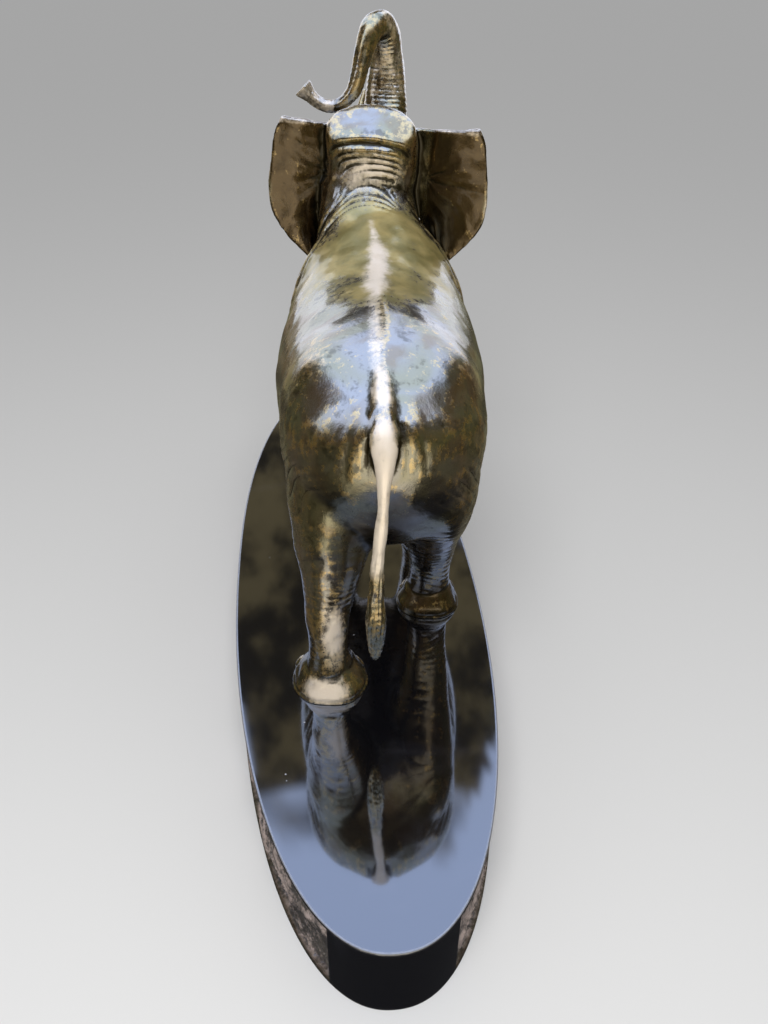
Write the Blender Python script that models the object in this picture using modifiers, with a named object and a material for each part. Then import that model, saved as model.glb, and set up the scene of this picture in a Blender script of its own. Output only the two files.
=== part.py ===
"""Bronze elephant with its trunk raised, striding over a long black marble base.

Metres, +Z up. The origin is the centre of the base's underside and +Y is the way the elephant walks.
Two pieces: the marble base, polished on top and at its ends and left rough along both flanks, and the
elephant, cast as one.

The elephant is modelled in its own units, of which its height at the shoulder has SHOULDER_UNITS, so its
pose and proportions follow that one height. In that frame the first number is to its right, the second
forwards and the third up from the soles of its feet. Its forms are lofted, fused into one skin, softened,
carved and then thinned to plain facets.
"""

import math

import bmesh
import bpy
import numpy as np
from mathutils import Matrix, Vector, noise

# Marble base
BASE_LENGTH = 0.600
BASE_WIDTH = 0.178
BASE_HEIGHT = 0.056
BASE_SQUARENESS = 2.2
POLISHED_SHARE = 0.38
ARRIS_BAND = 0.003
TOP_EASING = 0.0006
ROUGH_DEPTH = 0.0055
SPALL_LENGTH = 0.030
CHIP_LENGTH = 0.007
BASE_STEPS = 120
BASE_LEVELS = 5

# Elephant as a whole
SHOULDER_HEIGHT = 0.228
SHOULDER_UNITS = 228.0
HEADING_DEG = -4.0
ASIDE_SHARE = 0.107
SEAT_GAP = 0.0003
BODY_VOXEL = 2.4
BODY_SMOOTHING = 14
SKIN_VOXEL = 1.6
SKIN_SMOOTHING = 3
ELEPHANT_TRIANGLES = 7900
UNIT = SHOULDER_HEIGHT / SHOULDER_UNITS

# Torso, from rump to chest: forward, half-width, height of the widest line, top, underside
TORSO_SQUARENESS = 2.15
BACK_PINCH = 0.10
TORSO = (
    (-147, 6, 176, 185, 164),
    (-143, 23, 176, 196, 150),
    (-134, 39, 176, 206, 130),
    (-118, 51.5, 175, 215, 106),
    (-95, 57, 174, 224, 92),
    (-68, 61, 168, 229, 85),
    (-35, 65.5, 161, 228, 79),
    (-5, 67, 158, 228, 76),
    (20, 66, 160, 232, 76.5),
    (40, 64, 163, 237, 80),
    (58, 61, 169, 242, 88),
    (76, 55, 176, 247, 101),
    (95, 46, 182, 244, 118),
    (108, 33, 188, 230, 139),
    (117, 15, 192, 210, 170),
)

# Neck, from inside the shoulders to inside the head: right, forward, up, half-width, half-depth
NECK = (
    (0, 30, 172, 48, 44),
    (-1, 52, 190, 46, 42),
    (-3, 73, 209, 42, 35),
    (-5, 90, 226, 37, 29),
    (-6.5, 104, 243, 34, 28),
    (-7, 113, 260, 31, 30),
    (-7, 117, 270, 20, 16),
)

# Head, from the jaw to the crown along its own upright: along, half-width, reach to the front, to the back
HEAD_CENTRE = (0.0, 122.0, 253.0)
HEAD_LIFT_DEG = 38.0
HEAD_TURN_DEG = -6.0
HEAD_ROLL_DEG = 2.5
HEAD_PIVOT = (0.0, 85.0, 235.0)
HEAD_PLACE = (-7.0, 85.0, 235.0)
HEAD_SQUARENESS = 2.6
FACE_TAPER = 0.30
HEAD = (
    (-41, 9, 0, 6),
    (-35, 19, 5, 15),
    (-24, 25, 10, 21),
    (-14, 29, 24, 26),
    (-4, 31.5, 40, 28),
    (10, 33, 44, 28),
    (24, 32.5, 36, 26),
    (36, 32, 28, 21),
    (44, 31.5, 25, 17),
    (49.5, 31, 22, 14.5),
    (52.5, 30, 19, 12.5),
    (53.5, 26, 16, 10.5),
)

# Legs, from inside the body to below the sole: share of the joint's place aside, share of the way to the
# sole's place, up, half-width, half-length
HIND_LEG = (
    (0.55, 0.00, 190, 16, 24),
    (0.80, 0.00, 162, 25, 39),
    (0.85, 0.06, 132, 27, 41),
    (0.86, 0.24, 104, 25.5, 33),
    (0.93, 0.55, 78, 19.5, 24),
    (1.00, 0.80, 54, 15.2, 18),
    (1.00, 0.92, 36, 14.0, 16.3),
    (1.00, 0.98, 24, 13.8, 16.2),
    (1.00, 1.00, 15, 15.4, 17.8),
    (1.00, 1.00, 9.5, 18.2, 20.4),
    (1.00, 1.00, 5, 21.8, 22.6),
    (1.00, 1.00, 0, 23.2, 23.4),
    (1.00, 1.00, -12, 23.4, 23.6),
)
FORE_LEG = (
    (0.40, 0.00, 196, 14, 20),
    (0.64, 0.00, 166, 21, 30),
    (0.80, 0.10, 132, 22, 29),
    (0.90, 0.32, 102, 19.5, 23),
    (0.97, 0.60, 74, 18, 20),
    (1.00, 0.78, 54, 17.2, 19),
    (1.00, 0.91, 36, 15.2, 16.3),
    (1.00, 0.97, 25, 15.6, 16.8),
    (1.00, 1.00, 15, 17.4, 19),
    (1.00, 1.00, 9.5, 19.8, 21.6),
    (1.00, 1.00, 5, 22.8, 24),
    (1.00, 1.00, 0, 24.2, 25.2),
    (1.00, 1.00, -12, 24.6, 25.6),
)
HIP = 34.5, -90.0
SHOULDER = 42.0, 76.0
# Where each sole stands, right and forward, and how stout the shank and the foot are
SOLES = {
    "hind_left": (-34.5, -122.0, 0.94, 1.07),
    "hind_right": (34.5, -43.0, 1.07, 1.0),
    "fore_left": (-48.0, 118.0, 1.0, 1.0),
    "fore_right": (36.0, 52.0, 1.0, 1.0),
}
STOUT_HEIGHTS = 12.0, 25.0, 55.0, 110.0
NAIL_ANGLES_DEG = (-52, -26, 0, 26, 52)
NAIL_UP = 6.5
NAIL_SIZE = 4.2
NAIL_RELIEF = 1.5

# Trunk, from inside the face to the flared tip, laid out as the neck is
TRUNK_SQUARENESS = 2.6
TRUNK = (
    (0.5, 134, 259, 22, 20),
    (2, 150, 267, 20.5, 19.5),
    (3.5, 162, 280, 18, 17.5),
    (4, 169, 296, 15.5, 15),
    (3.5, 171.5, 312, 13.8, 13.5),
    (2.5, 171, 327, 12.2, 12),
    (1.3, 166, 340, 10.8, 10.4),
    (-1.8, 158.5, 347.5, 9.3, 8.8),
    (-6.5, 151, 345, 8.0, 7.8),
    (-10.5, 146, 334, 6.9, 6.7),
    (-13.5, 143, 320, 5.8, 5.6),
    (-18.5, 141, 306, 4.9, 4.8),
    (-28.5, 140, 297.5, 4.4, 4.4),
    (-40, 140, 298, 4.1, 4.1),
    (-47.5, 140, 303, 4.4, 4.4),
    (-53, 140, 308, 7.0, 6.6),
)
TRUNK_MOUTH_SHARE = 0.66
TRUNK_MOUTH_DEPTH = 4.0
RIDGES = 34
RIDGE_SPAN = 0.18, 0.80
RIDGE_RELIEF = 0.055
LOWER_JAW = (
    (0, 104, 230, 20, 16),
    (0, 122, 224, 18, 13),
    (0, 138, 224, 14, 10),
    (0, 153, 229, 10, 7),
    (0, 164, 236, 6, 5),
    (0, 170, 242, 2, 2),
)
TUSK = (
    (12, 138, 256, 6.5, 6.5),
    (15, 152, 261, 6.0, 6.0),
    (17.5, 166, 268, 5.2, 5.2),
    (17, 177, 280, 4.4, 4.4),
    (14.5, 183, 294, 3.2, 3.2),
    (13, 185, 303, 1.8, 1.8),
)
TAIL = (
    (-1, -104, 212, 8, 8),
    (-1.5, -122, 207, 8, 7.5),
    (-1.5, -136, 199.5, 7.8, 7),
    (-1.2, -145, 191, 7.2, 6),
    (-1.2, -150.5, 181, 5.2, 4.6),
    (-1.5, -153, 170, 3.6, 3.4),
    (-2.8, -155, 145, 3.4, 3.3),
    (-5, -155.5, 120, 3.9, 3.6),
    (-5.5, -155.5, 95, 5.2, 4.2),
    (-5.5, -155, 76, 5.6, 4.4),
    (-5.8, -154, 60, 4.4, 3.6),
    (-5.8, -153.5, 49, 1.8, 1.6),
)

# Ear, from the top to the bottom: share of the way down, root aside and up, edge aside and up
EAR = (
    (0.00, 27, 293, 66, 297),
    (0.10, 29, 286, 70, 290),
    (0.35, 32, 266, 74, 268),
    (0.60, 34, 246, 76, 246),
    (0.80, 36, 230, 71, 229),
    (0.92, 38, 218, 60, 215),
    (1.00, 40, 207, 46, 203),
)
EAR_HEIGHT = 100.0
EAR_ASIDE = 6.0
EAR_FORWARD = 106.0
EAR_SWEEP = 12.0
EAR_BOW = 5.0
EAR_INSET = 0.15
EAR_THICKNESS = 4.2
EAR_RIM = 0.35
EAR_RIM_REACH = 0.07

# Swellings and hollows of the skin: aside (on both sides unless 0), forward, up, their reach in each of
# the three, and how far out
SWELLINGS = {
    "hip bone": (34, -96, 208, 20, 22, 14, 3.0),
    "hollow before the hip": (30, -58, 222, 24, 16, 14, -2.2),
    "haunch": (50, -98, 158, 18, 26, 30, 2.2),
    "flank hollow": (58, -60, 150, 16, 16, 34, -3.0),
    "shoulder blade": (46, 74, 176, 16, 22, 34, 4.0),
    "hollow behind the shoulder": (44, 42, 200, 18, 12, 26, -2.5),
    "spine": (0, -45, 229, 6, 80, 14, 1.8),
    "fold beside the tail": (12, -138, 192, 6, 12, 18, 2.2),
    "elbow": (40, 62, 118, 14, 10, 14, 3.0),
    "cheek": (26, 128, 246, 12, 16, 14, 3.0),
    "brow": (26, 136, 274, 9, 10, 7, 2.5),
    "eye": (29, 138, 266, 4, 4.5, 3.5, 1.8),
    "temple hollow": (32, 118, 270, 10, 9, 10, -2.5),
    "tusk socket": (17, 156, 268, 8, 10, 9, 2.0),
}
# Folds across the nape: forward and up of the first, the step to the next, how many, and their relief
NAPE_FOLD = 81.0, 276.0
NAPE_STEP = -2.0, -6.5
NAPE_FOLDS = 4
NAPE_FOLD_WIDTH = 2.2
NAPE_FOLD_REACH = 34.0
NAPE_FOLD_BEND = 6.0
NAPE_RELIEF = 1.1


def clear_scene():
    for obj in list(bpy.data.objects):
        bpy.data.objects.remove(obj, do_unlink=True)


def material(name, colour, roughness, metallic):
    made = bpy.data.materials.new(name)
    made.use_nodes = True
    shader = made.node_tree.nodes["Principled BSDF"]
    shader.inputs["Base Color"].default_value = (*colour, 1.0)
    shader.inputs["Roughness"].default_value = roughness
    shader.inputs["Metallic"].default_value = metallic
    return made


def along_stations(rows, count, path_columns=3):
    """As many rows as count, evenly spaced along one smooth curve through the stations."""
    rows = np.array(rows, float)
    steps = np.linalg.norm(np.diff(rows[:, :path_columns], axis=0), axis=1)
    knots = np.concatenate([[0.0], np.cumsum(steps)])
    slopes = np.gradient(rows, knots, axis=0)
    at = np.linspace(0.0, knots[-1], count)
    left = np.clip(np.searchsorted(knots, at, side="right") - 1, 0, len(knots) - 2)
    gap = (knots[left + 1] - knots[left])[:, None]
    t = (at - knots[left])[:, None] / gap
    return (
        rows[left] * (1 + 2 * t) * (1 - t) ** 2
        + slopes[left] * gap * t * (1 - t) ** 2
        + rows[left + 1] * t * t * (3 - 2 * t)
        + slopes[left + 1] * gap * t * t * (t - 1)
    )


def oval(sides, squareness=2.0):
    """Cosines and sines round an oval, which a squareness over 2 makes boxier."""
    turn = np.linspace(0.0, 2 * math.pi, sides, endpoint=False)
    power = 2.0 / squareness
    c, s = np.cos(turn), np.sin(turn)
    return np.sign(c) * np.abs(c) ** power, np.sign(s) * np.abs(s) ** power


def closed_form(name, rings):
    """A closed object from an array of rings (rings, sides, 3), each end closed round its middle."""
    count, sides = rings.shape[:2]
    points = np.concatenate([rings.reshape(-1, 3), [rings[0].mean(axis=0)], [rings[-1].mean(axis=0)]])
    ring, side = np.meshgrid(np.arange(count - 1), np.arange(sides), indexing="ij")
    a, b = ring * sides + side, ring * sides + (side + 1) % sides
    walls = np.stack([a, b, b + sides, a + sides], axis=-1).reshape(-1, 4)
    here, after = np.arange(sides), (np.arange(sides) + 1) % sides
    last = (count - 1) * sides
    start = np.stack([np.full(sides, count * sides), after, here], axis=-1)
    finish = np.stack([np.full(sides, count * sides + 1), last + here, last + after], axis=-1)
    return closed_object(name, points, walls.tolist() + start.tolist() + finish.tolist())


def closed_object(name, points, faces):
    """An object of the given points, in the elephant's units, with its faces turned outwards."""
    mesh = bpy.data.meshes.new(name)
    mesh.from_pydata((points * UNIT).tolist(), [], faces)
    shape = bmesh.new()
    shape.from_mesh(mesh)
    bmesh.ops.recalc_face_normals(shape, faces=shape.faces)
    shape.to_mesh(mesh)
    shape.free()
    return bpy.data.objects.new(name, mesh)


def torso():
    stations = [(forward, 0, top, half, middle, low) for forward, half, middle, top, low in TORSO]
    rows = along_stations(stations, 44)
    c, s = oval(36, TORSO_SQUARENESS)
    forward, top, half, middle, low = (rows[:, i, None] for i in (0, 2, 3, 4, 5))
    reach = np.where(s > 0, top - middle, middle - low)
    across = half * c * (1.0 - BACK_PINCH * np.clip(s, 0.0, 1.0) ** 3)
    return closed_form("torso", np.stack([across, forward + 0 * c, middle + reach * s], axis=-1))


def swept(name, stations, steps, sides, squareness=2.0):
    """A tube along a path, its rings square to it and turning with it without a twist."""
    rings = swept_rings(along_stations(stations, steps), sides, squareness)
    return closed_form(name, rings)


def swept_rings(rows, sides, squareness=2.0, dorsal_relief=0.0):
    """Rings square to the path. dorsal_relief is each ring's extra depth on the side that starts at the
    back, as a share of its half-depth."""
    path = rows[:, :3]
    ahead = np.gradient(path, axis=0)
    ahead /= np.linalg.norm(ahead, axis=1)[:, None]
    c, s = oval(sides, squareness)
    relief = np.broadcast_to(dorsal_relief, len(rows))
    side = np.array((1.0, 0.0, 0.0))
    rings = []
    for point, direction, half_width, half_depth, extra in zip(path, ahead, rows[:, 3], rows[:, 4], relief):
        side = side - direction * (side @ direction)
        side /= np.linalg.norm(side)
        back = np.cross(side, direction)
        depth = half_depth * (1.0 + extra * np.clip(s, 0.0, 1.0) ** 2)
        rings.append(point + np.outer(c * half_width, side) + np.outer(s * depth, back))
    return np.array(rings)


def trunk():
    """The trunk with ridges across its back and a cupped, flaring tip."""
    steps = 6 * RIDGES
    rows = along_stations(TRUNK, steps)
    share = np.linspace(0.0, 1.0, steps)
    start, finish = RIDGE_SPAN
    ridged = (share > start) & (share < finish)
    wave = np.cos(2 * math.pi * RIDGES * (share - start) / (finish - start))
    rings = swept_rings(rows, 20, TRUNK_SQUARENESS, np.where(ridged, RIDGE_RELIEF * wave, 0.0))
    tip, middle = rings[-1], rings[-1].mean(axis=0)
    inward = rings[-2].mean(axis=0) - middle
    inward *= TRUNK_MOUTH_DEPTH / np.linalg.norm(inward)
    lip = middle + TRUNK_MOUTH_SHARE * (tip - middle)
    return closed_form("trunk", np.concatenate([rings, [lip, lip + inward]]))


def leg(name, stations, joint, sole):
    """A leg of level rings, whose stations share out the way from the joint to the sole's place."""
    side = math.copysign(1.0, sole[0])
    rows = np.array(stations, float)
    across, along, up, half_width, half_length = rows.T
    x = side * (joint[0] * across + (abs(sole[0]) - joint[0]) * along)
    y = joint[1] + (sole[1] - joint[1]) * along
    girth = np.interp(up, STOUT_HEIGHTS, (sole[3], sole[2], sole[2], 1.0))
    rows = along_stations(np.stack([x, y, up, half_width * girth, half_length], axis=1), 26)
    c, s = oval(28, 2.1)
    x, y, up, half_width, half_length = (rows[:, i, None] for i in range(5))
    return closed_form(name, np.stack([x + half_width * c, y + half_length * s, up + 0 * c], axis=-1))


def head():
    lift = math.radians(HEAD_LIFT_DEG)
    front = np.array((0.0, math.cos(lift), math.sin(lift)))
    upright = np.array((0.0, -math.sin(lift), math.cos(lift)))
    rows = along_stations(HEAD, 26, path_columns=1)
    c, s = oval(36, HEAD_SQUARENESS)
    along, half, ahead, behind = (rows[:, i, None] for i in range(4))
    reach = np.where(s > 0, ahead, behind) * s
    across = half * c * (1.0 - FACE_TAPER * np.clip(s, 0.0, 1.0) ** 2)
    rings = np.array(HEAD_CENTRE) + along[..., None] * upright + reach[..., None] * front
    rings[..., 0] += across
    return closed_form("head", rings)


def ear(name, side):
    """A thin bowed plate from the side of the head to the ear's free edge, thicker along its rolled rim."""
    stations = [(share * EAR_HEIGHT, *rest) for share, *rest in EAR]
    down = along_stations(stations, 40, path_columns=1)
    share = down[:, 0, None] / EAR_HEIGHT
    out = np.linspace(-EAR_INSET, 1.0, 30)
    across = down[:, 1, None] + (down[:, 3] - down[:, 1])[:, None] * out
    up = down[:, 2, None] + (down[:, 4] - down[:, 2])[:, None] * out
    forward = EAR_FORWARD - EAR_SWEEP * out - EAR_BOW * np.sin(math.pi * np.clip(out, 0.0, 1.0)) + 0 * up
    rim = np.exp(-(((1.0 - out) / EAR_RIM_REACH) ** 2)) + np.exp(-((share / EAR_RIM_REACH) ** 2))
    half = 0.5 * EAR_THICKNESS * (1.0 + EAR_RIM * np.clip(rim, 0.0, 1.0))
    back = np.stack([EAR_ASIDE + side * across, forward - half, up], axis=-1)
    front = np.stack([EAR_ASIDE + side * across, forward + half, up], axis=-1)
    loop = np.concatenate([front, back[:, ::-1]], axis=1)
    return closed_form(name, loop)


def head_turn():
    """The head's turn and roll about the neck, and its place a little to the left."""
    pivot = Vector(HEAD_PIVOT) * UNIT
    place = Vector(HEAD_PLACE) * UNIT
    turn = Matrix.Rotation(math.radians(HEAD_TURN_DEG), 4, "Z")
    roll = Matrix.Rotation(math.radians(HEAD_ROLL_DEG), 4, "Y")
    return Matrix.Translation(place) @ turn @ roll @ Matrix.Translation(-pivot)


def turned_with_head(forms):
    turn = head_turn()
    for form in forms:
        form.data.transform(turn)
    return forms


def body_forms():
    """The broad forms, which flow into one another: torso, neck, head and legs."""
    forms = [torso(), swept("neck", NECK, 14, 32), *turned_with_head([head()])]
    for name, sole in SOLES.items():
        stations, joint = (HIND_LEG, HIP) if name.startswith("hind") else (FORE_LEG, SHOULDER)
        forms.append(leg(name, stations, joint, sole))
    return forms


def thin_forms():
    """The thin forms that grow out of the body: trunk, jaw, tusks, ears and tail."""
    mirrored_tusk = [(-aside, *rest) for aside, *rest in TUSK]
    on_head = [
        trunk(),
        swept("jaw", LOWER_JAW, 14, 18),
        swept("tusk_left", mirrored_tusk, 16, 12),
        swept("tusk_right", TUSK, 16, 12),
        ear("ear_left", -1),
        ear("ear_right", 1),
    ]
    return [*turned_with_head(on_head), swept("tail", TAIL, 44, 12)]


def joined(name, objects, collection):
    """One object of all the given ones, which it takes the place of."""
    shape = bmesh.new()
    for obj in objects:
        shape.from_mesh(obj.data)
        bpy.data.objects.remove(obj)
    mesh = bpy.data.meshes.new(name)
    shape.to_mesh(mesh)
    shape.free()
    result = bpy.data.objects.new(name, mesh)
    collection.objects.link(result)
    return result


def apply_modifiers(obj):
    bpy.context.view_layer.update()
    graph = bpy.context.evaluated_depsgraph_get()
    mesh = bpy.data.meshes.new_from_object(obj.evaluated_get(graph))
    obj.modifiers.clear()
    obj.data = mesh


def fuse(obj, voxel, smoothing):
    """Melts the overlapping forms into one skin and softens the creases where they meet."""
    remesh = obj.modifiers.new("fuse", "REMESH")
    remesh.mode = "VOXEL"
    remesh.voxel_size = voxel * UNIT
    soften = obj.modifiers.new("soften", "SMOOTH")
    soften.iterations = smoothing
    soften.factor = 0.5
    apply_modifiers(obj)


def swelling(points, forward_up, reach, amount, aside):
    centres = {aside, -aside}
    push = np.zeros(len(points))
    for x in centres:
        away = (points - (x, *forward_up)) / reach
        push += amount * np.exp(-1.5 * (away**2).sum(axis=1))
    return push


def nail_swellings(points):
    """The toenails round the front of each foot."""
    push = np.zeros(len(points))
    for name, (right, forward, _, stout) in SOLES.items():
        stations = HIND_LEG if name.startswith("hind") else FORE_LEG
        ups, half_widths = np.array(stations, float)[::-1, 2:4].T
        radius = stout * np.interp(NAIL_UP, ups, half_widths)
        for angle in np.radians(NAIL_ANGLES_DEG):
            centre = (right + radius * math.sin(angle), forward + radius * math.cos(angle), NAIL_UP)
            away = (points - centre) / NAIL_SIZE
            push += NAIL_RELIEF * np.exp(-((away**2).sum(axis=1) ** 2))
    return push


def nape_folds(points):
    """Grooves that run across the nape, bent down the neck at its sides."""
    right, forward, up = points.T
    push = np.zeros(len(points))
    slope = np.array(NAPE_STEP) / np.linalg.norm(NAPE_STEP)
    for i in range(NAPE_FOLDS):
        middle = np.array(NAPE_FOLD) + i * np.array(NAPE_STEP)
        along = (forward - middle[0]) * slope[0] + (up - middle[1]) * slope[1]
        bend = NAPE_FOLD_BEND * (right / NAPE_FOLD_REACH) ** 2
        across = np.exp(-((right / NAPE_FOLD_REACH) ** 4))
        near = np.exp(-(((forward - middle[0]) ** 2 + (up - middle[1]) ** 2) / 900.0))
        push -= NAPE_RELIEF * across * near * np.exp(-(((along - bend) / NAPE_FOLD_WIDTH) ** 2))
    return push


def carve(obj):
    """Moves the skin out or in along its own direction: muscles, bones, nails, eyes and folds."""
    mesh = obj.data
    count = len(mesh.vertices)
    points, outward = np.empty(3 * count), np.empty(3 * count)
    mesh.vertices.foreach_get("co", points)
    mesh.vertex_normals.foreach_get("vector", outward)
    points, outward = points.reshape(-1, 3) / UNIT, outward.reshape(-1, 3)
    push = nail_swellings(points) + nape_folds(points)
    for aside, forward, up, *reach, amount in SWELLINGS.values():
        push += swelling(points, (forward, up), reach, amount, aside)
    points += outward * push[:, None]
    mesh.vertices.foreach_set("co", (points * UNIT).ravel())
    mesh.update()


def thin_faces(obj, triangles):
    thin = obj.modifiers.new("fewer_faces", "DECIMATE")
    thin.ratio = triangles / (2 * len(obj.data.polygons))
    apply_modifiers(obj)


def flat_soles(obj):
    """Cuts the feet off level at the soles and closes them flat."""
    shape = bmesh.new()
    shape.from_mesh(obj.data)
    everything = shape.verts[:] + shape.edges[:] + shape.faces[:]
    bmesh.ops.bisect_plane(shape, geom=everything, plane_co=(0, 0, 0), plane_no=(0, 0, 1), clear_inner=True)
    rims = [edge for edge in shape.edges if edge.is_boundary]
    bmesh.ops.edgenet_fill(shape, edges=rims)
    bmesh.ops.recalc_face_normals(shape, faces=shape.faces)
    shape.to_mesh(obj.data)
    shape.free()


def elephant(collection, bronze):
    bulk = joined("body", body_forms(), collection)
    fuse(bulk, BODY_VOXEL, BODY_SMOOTHING)
    body = joined("elephant", [bulk, *thin_forms()], collection)
    fuse(body, SKIN_VOXEL, SKIN_SMOOTHING)
    carve(body)
    thin_faces(body, ELEPHANT_TRIANGLES)
    flat_soles(body)
    body.data.materials.clear()
    body.data.materials.append(bronze)
    body.rotation_euler = (0.0, 0.0, math.radians(HEADING_DEG))
    body.location = (ASIDE_SHARE * BASE_WIDTH, 0.0, BASE_HEIGHT + SEAT_GAP)


def base_outline(steps):
    """Evenly spaced points round the base's oval, and the outward direction at each."""
    c, s = oval(40 * steps, BASE_SQUARENESS)
    x, y = 0.5 * BASE_WIDTH * c, 0.5 * BASE_LENGTH * s
    length = np.concatenate([[0.0], np.cumsum(np.hypot(np.diff(x, append=x[0]), np.diff(y, append=y[0])))])
    at = np.linspace(0.0, length[-1], steps, endpoint=False)
    x, y = np.interp(at, length, np.append(x, x[0])), np.interp(at, length, np.append(y, y[0]))
    dx, dy = np.roll(x, -1) - np.roll(x, 1), np.roll(y, -1) - np.roll(y, 1)
    size = np.hypot(dx, dy)
    return x, y, dy / size, -dx / size


def broken_depth(x, y, z):
    """How far in the broken stone lies at a place on the flank: broad spalls with chips in them."""
    place = Vector((x, y, z))
    broad, fine = noise.noise(place / SPALL_LENGTH), noise.noise(place / CHIP_LENGTH)
    return ROUGH_DEPTH * min(1.0, max(0.08, 0.5 + 0.7 * broad + 0.45 * fine))


def marble_base(collection, marble):
    x, y, out_x, out_y = base_outline(BASE_STEPS)
    broken_heights = np.linspace(ARRIS_BAND, BASE_HEIGHT - ARRIS_BAND, BASE_LEVELS)
    heights = [0.0, *broken_heights, BASE_HEIGHT - TOP_EASING, BASE_HEIGHT]
    rough = np.abs(x) > POLISHED_SHARE * 0.5 * BASE_WIDTH
    rings = []
    for height in heights:
        inward = np.zeros_like(x)
        if height in broken_heights:
            inward[rough] = [broken_depth(a, b, height) for a, b in zip(x[rough], y[rough])]
        if height == BASE_HEIGHT:
            inward += TOP_EASING
        rings.append(np.stack([x - inward * out_x, y - inward * out_y, np.full_like(x, height)], axis=1))
    count = len(x)
    level, step = np.meshgrid(np.arange(len(heights) - 1), np.arange(count), indexing="ij")
    a, b = level * count + step, level * count + (step + 1) % count
    walls = np.stack([a, b, b + count, a + count], axis=-1).reshape(-1, 4).tolist()
    underside = list(range(count - 1, -1, -1))
    top = list(range((len(heights) - 1) * count, len(heights) * count))
    mesh = bpy.data.meshes.new("marble_base")
    mesh.from_pydata(np.concatenate(rings).tolist(), [], [underside, top, *walls])
    mesh.materials.append(marble)
    collection.objects.link(bpy.data.objects.new("marble_base", mesh))


def main():
    clear_scene()
    collection = bpy.data.collections.new("elephant_sculpture")
    bpy.context.scene.collection.children.link(collection)
    bronze = material("patinated_bronze", (0.20, 0.16, 0.07), 0.32, 1.0)
    marble = material("black_marble", (0.012, 0.013, 0.016), 0.12, 0.0)
    elephant(collection, bronze)
    marble_base(collection, marble)


main()
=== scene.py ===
# %% [markdown]
# # Bronze elephant on a black marble base
#
# The real thing is a table sculpture: an elephant with its trunk thrown back, cast in bronze and standing
# on a long oval of black marble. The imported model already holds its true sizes, so it is loaded first and
# each new piece is fitted to the node that it stands for. Nothing here changes a size.

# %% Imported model
import math
from functools import partial

import bmesh
import bpy
import numpy as np
from mathutils import Matrix, Vector
from mathutils.bvhtree import BVHTree


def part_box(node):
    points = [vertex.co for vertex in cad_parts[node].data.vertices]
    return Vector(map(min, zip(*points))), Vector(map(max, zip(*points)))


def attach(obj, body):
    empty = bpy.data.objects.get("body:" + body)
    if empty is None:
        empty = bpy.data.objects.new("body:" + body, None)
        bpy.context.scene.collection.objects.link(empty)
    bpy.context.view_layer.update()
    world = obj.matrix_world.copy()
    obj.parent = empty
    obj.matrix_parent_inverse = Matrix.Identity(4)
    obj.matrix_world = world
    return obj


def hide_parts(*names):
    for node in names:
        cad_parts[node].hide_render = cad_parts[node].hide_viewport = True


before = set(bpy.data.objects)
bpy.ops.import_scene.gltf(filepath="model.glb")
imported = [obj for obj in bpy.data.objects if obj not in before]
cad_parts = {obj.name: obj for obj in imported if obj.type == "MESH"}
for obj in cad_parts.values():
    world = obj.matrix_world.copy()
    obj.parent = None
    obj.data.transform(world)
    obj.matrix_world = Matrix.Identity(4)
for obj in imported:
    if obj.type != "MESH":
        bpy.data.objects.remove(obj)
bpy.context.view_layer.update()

bronze_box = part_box("elephant")
base_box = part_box("marble_base")

# %% [markdown]
# ## Camera
#
# The photograph looks down on the sculpture from behind and above its tail, so that the base runs away from
# the eye and the trunk stands over the head. A camera is placed by its yaw, pitch and roll. The three give
# the directions that it looks, and that its picture's right and top point.

# %% Camera behind the tail
CAMERA_PLACE = (-0.0297, -0.501, base_box[1].z + 0.4002)
CAMERA_YAW_DEG = 5.978
CAMERA_PITCH_DEG = 35.0
CAMERA_ROLL_DEG = 0.488
PICTURE_HEIGHT = 1024
FOCAL_PIXELS = 828
SENSOR_MM = 36.0

yaw, pitch, tilt = (math.radians(a) for a in (CAMERA_YAW_DEG, CAMERA_PITCH_DEG, CAMERA_ROLL_DEG))
forward = Vector((math.sin(yaw) * math.cos(pitch), math.cos(yaw) * math.cos(pitch), -math.sin(pitch)))
level = Vector((math.cos(yaw), -math.sin(yaw), 0.0))
upright = level.cross(forward)
right = math.cos(tilt) * level + math.sin(tilt) * upright
top = math.cos(tilt) * upright - math.sin(tilt) * level
camera = bpy.data.objects.new("camera", bpy.data.cameras.new("camera"))
turned_to = Matrix((right, top, -forward)).transposed().to_4x4()
camera.matrix_world = Matrix.Translation(CAMERA_PLACE) @ turned_to
camera.data.sensor_width = SENSOR_MM
camera.data.lens = SENSOR_MM * FOCAL_PIXELS / PICTURE_HEIGHT
camera.data.clip_start = 0.01
bpy.context.scene.collection.objects.link(camera)
bpy.context.scene.camera = camera
print("lens, mm:", round(camera.data.lens, 2))

# %% [markdown]
# ## The animal's forms
#
# A sculptor models such an animal from a few masses: a barrel for the body, a wedge for the head, four
# columns and a tapering trunk. Each mass is a surface of rings strung along a path, and the rings' sizes
# are read from a short table of stations, in millimetres to the right, forward and up from the soles. A
# smooth curve through the stations gives as many rings as needed.

# %% Ramp and bell
MM = 0.001


def ramp(values, start, end):
    """0 up to the start, 1 past the end and straight between them; the end may be the lower."""
    return np.clip((values - start) / (end - start), 0.0, 1.0)


def bell(values, middle, width):
    """e^-((value - middle) / width)^2."""
    return np.exp(-(((values - middle) / width) ** 2))


print("a ramp from 2 to 4 at 3 is", ramp(3.0, 2, 4), "and a bell 1 wide at 1 is", round(bell(1.0, 0, 1), 3))


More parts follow.
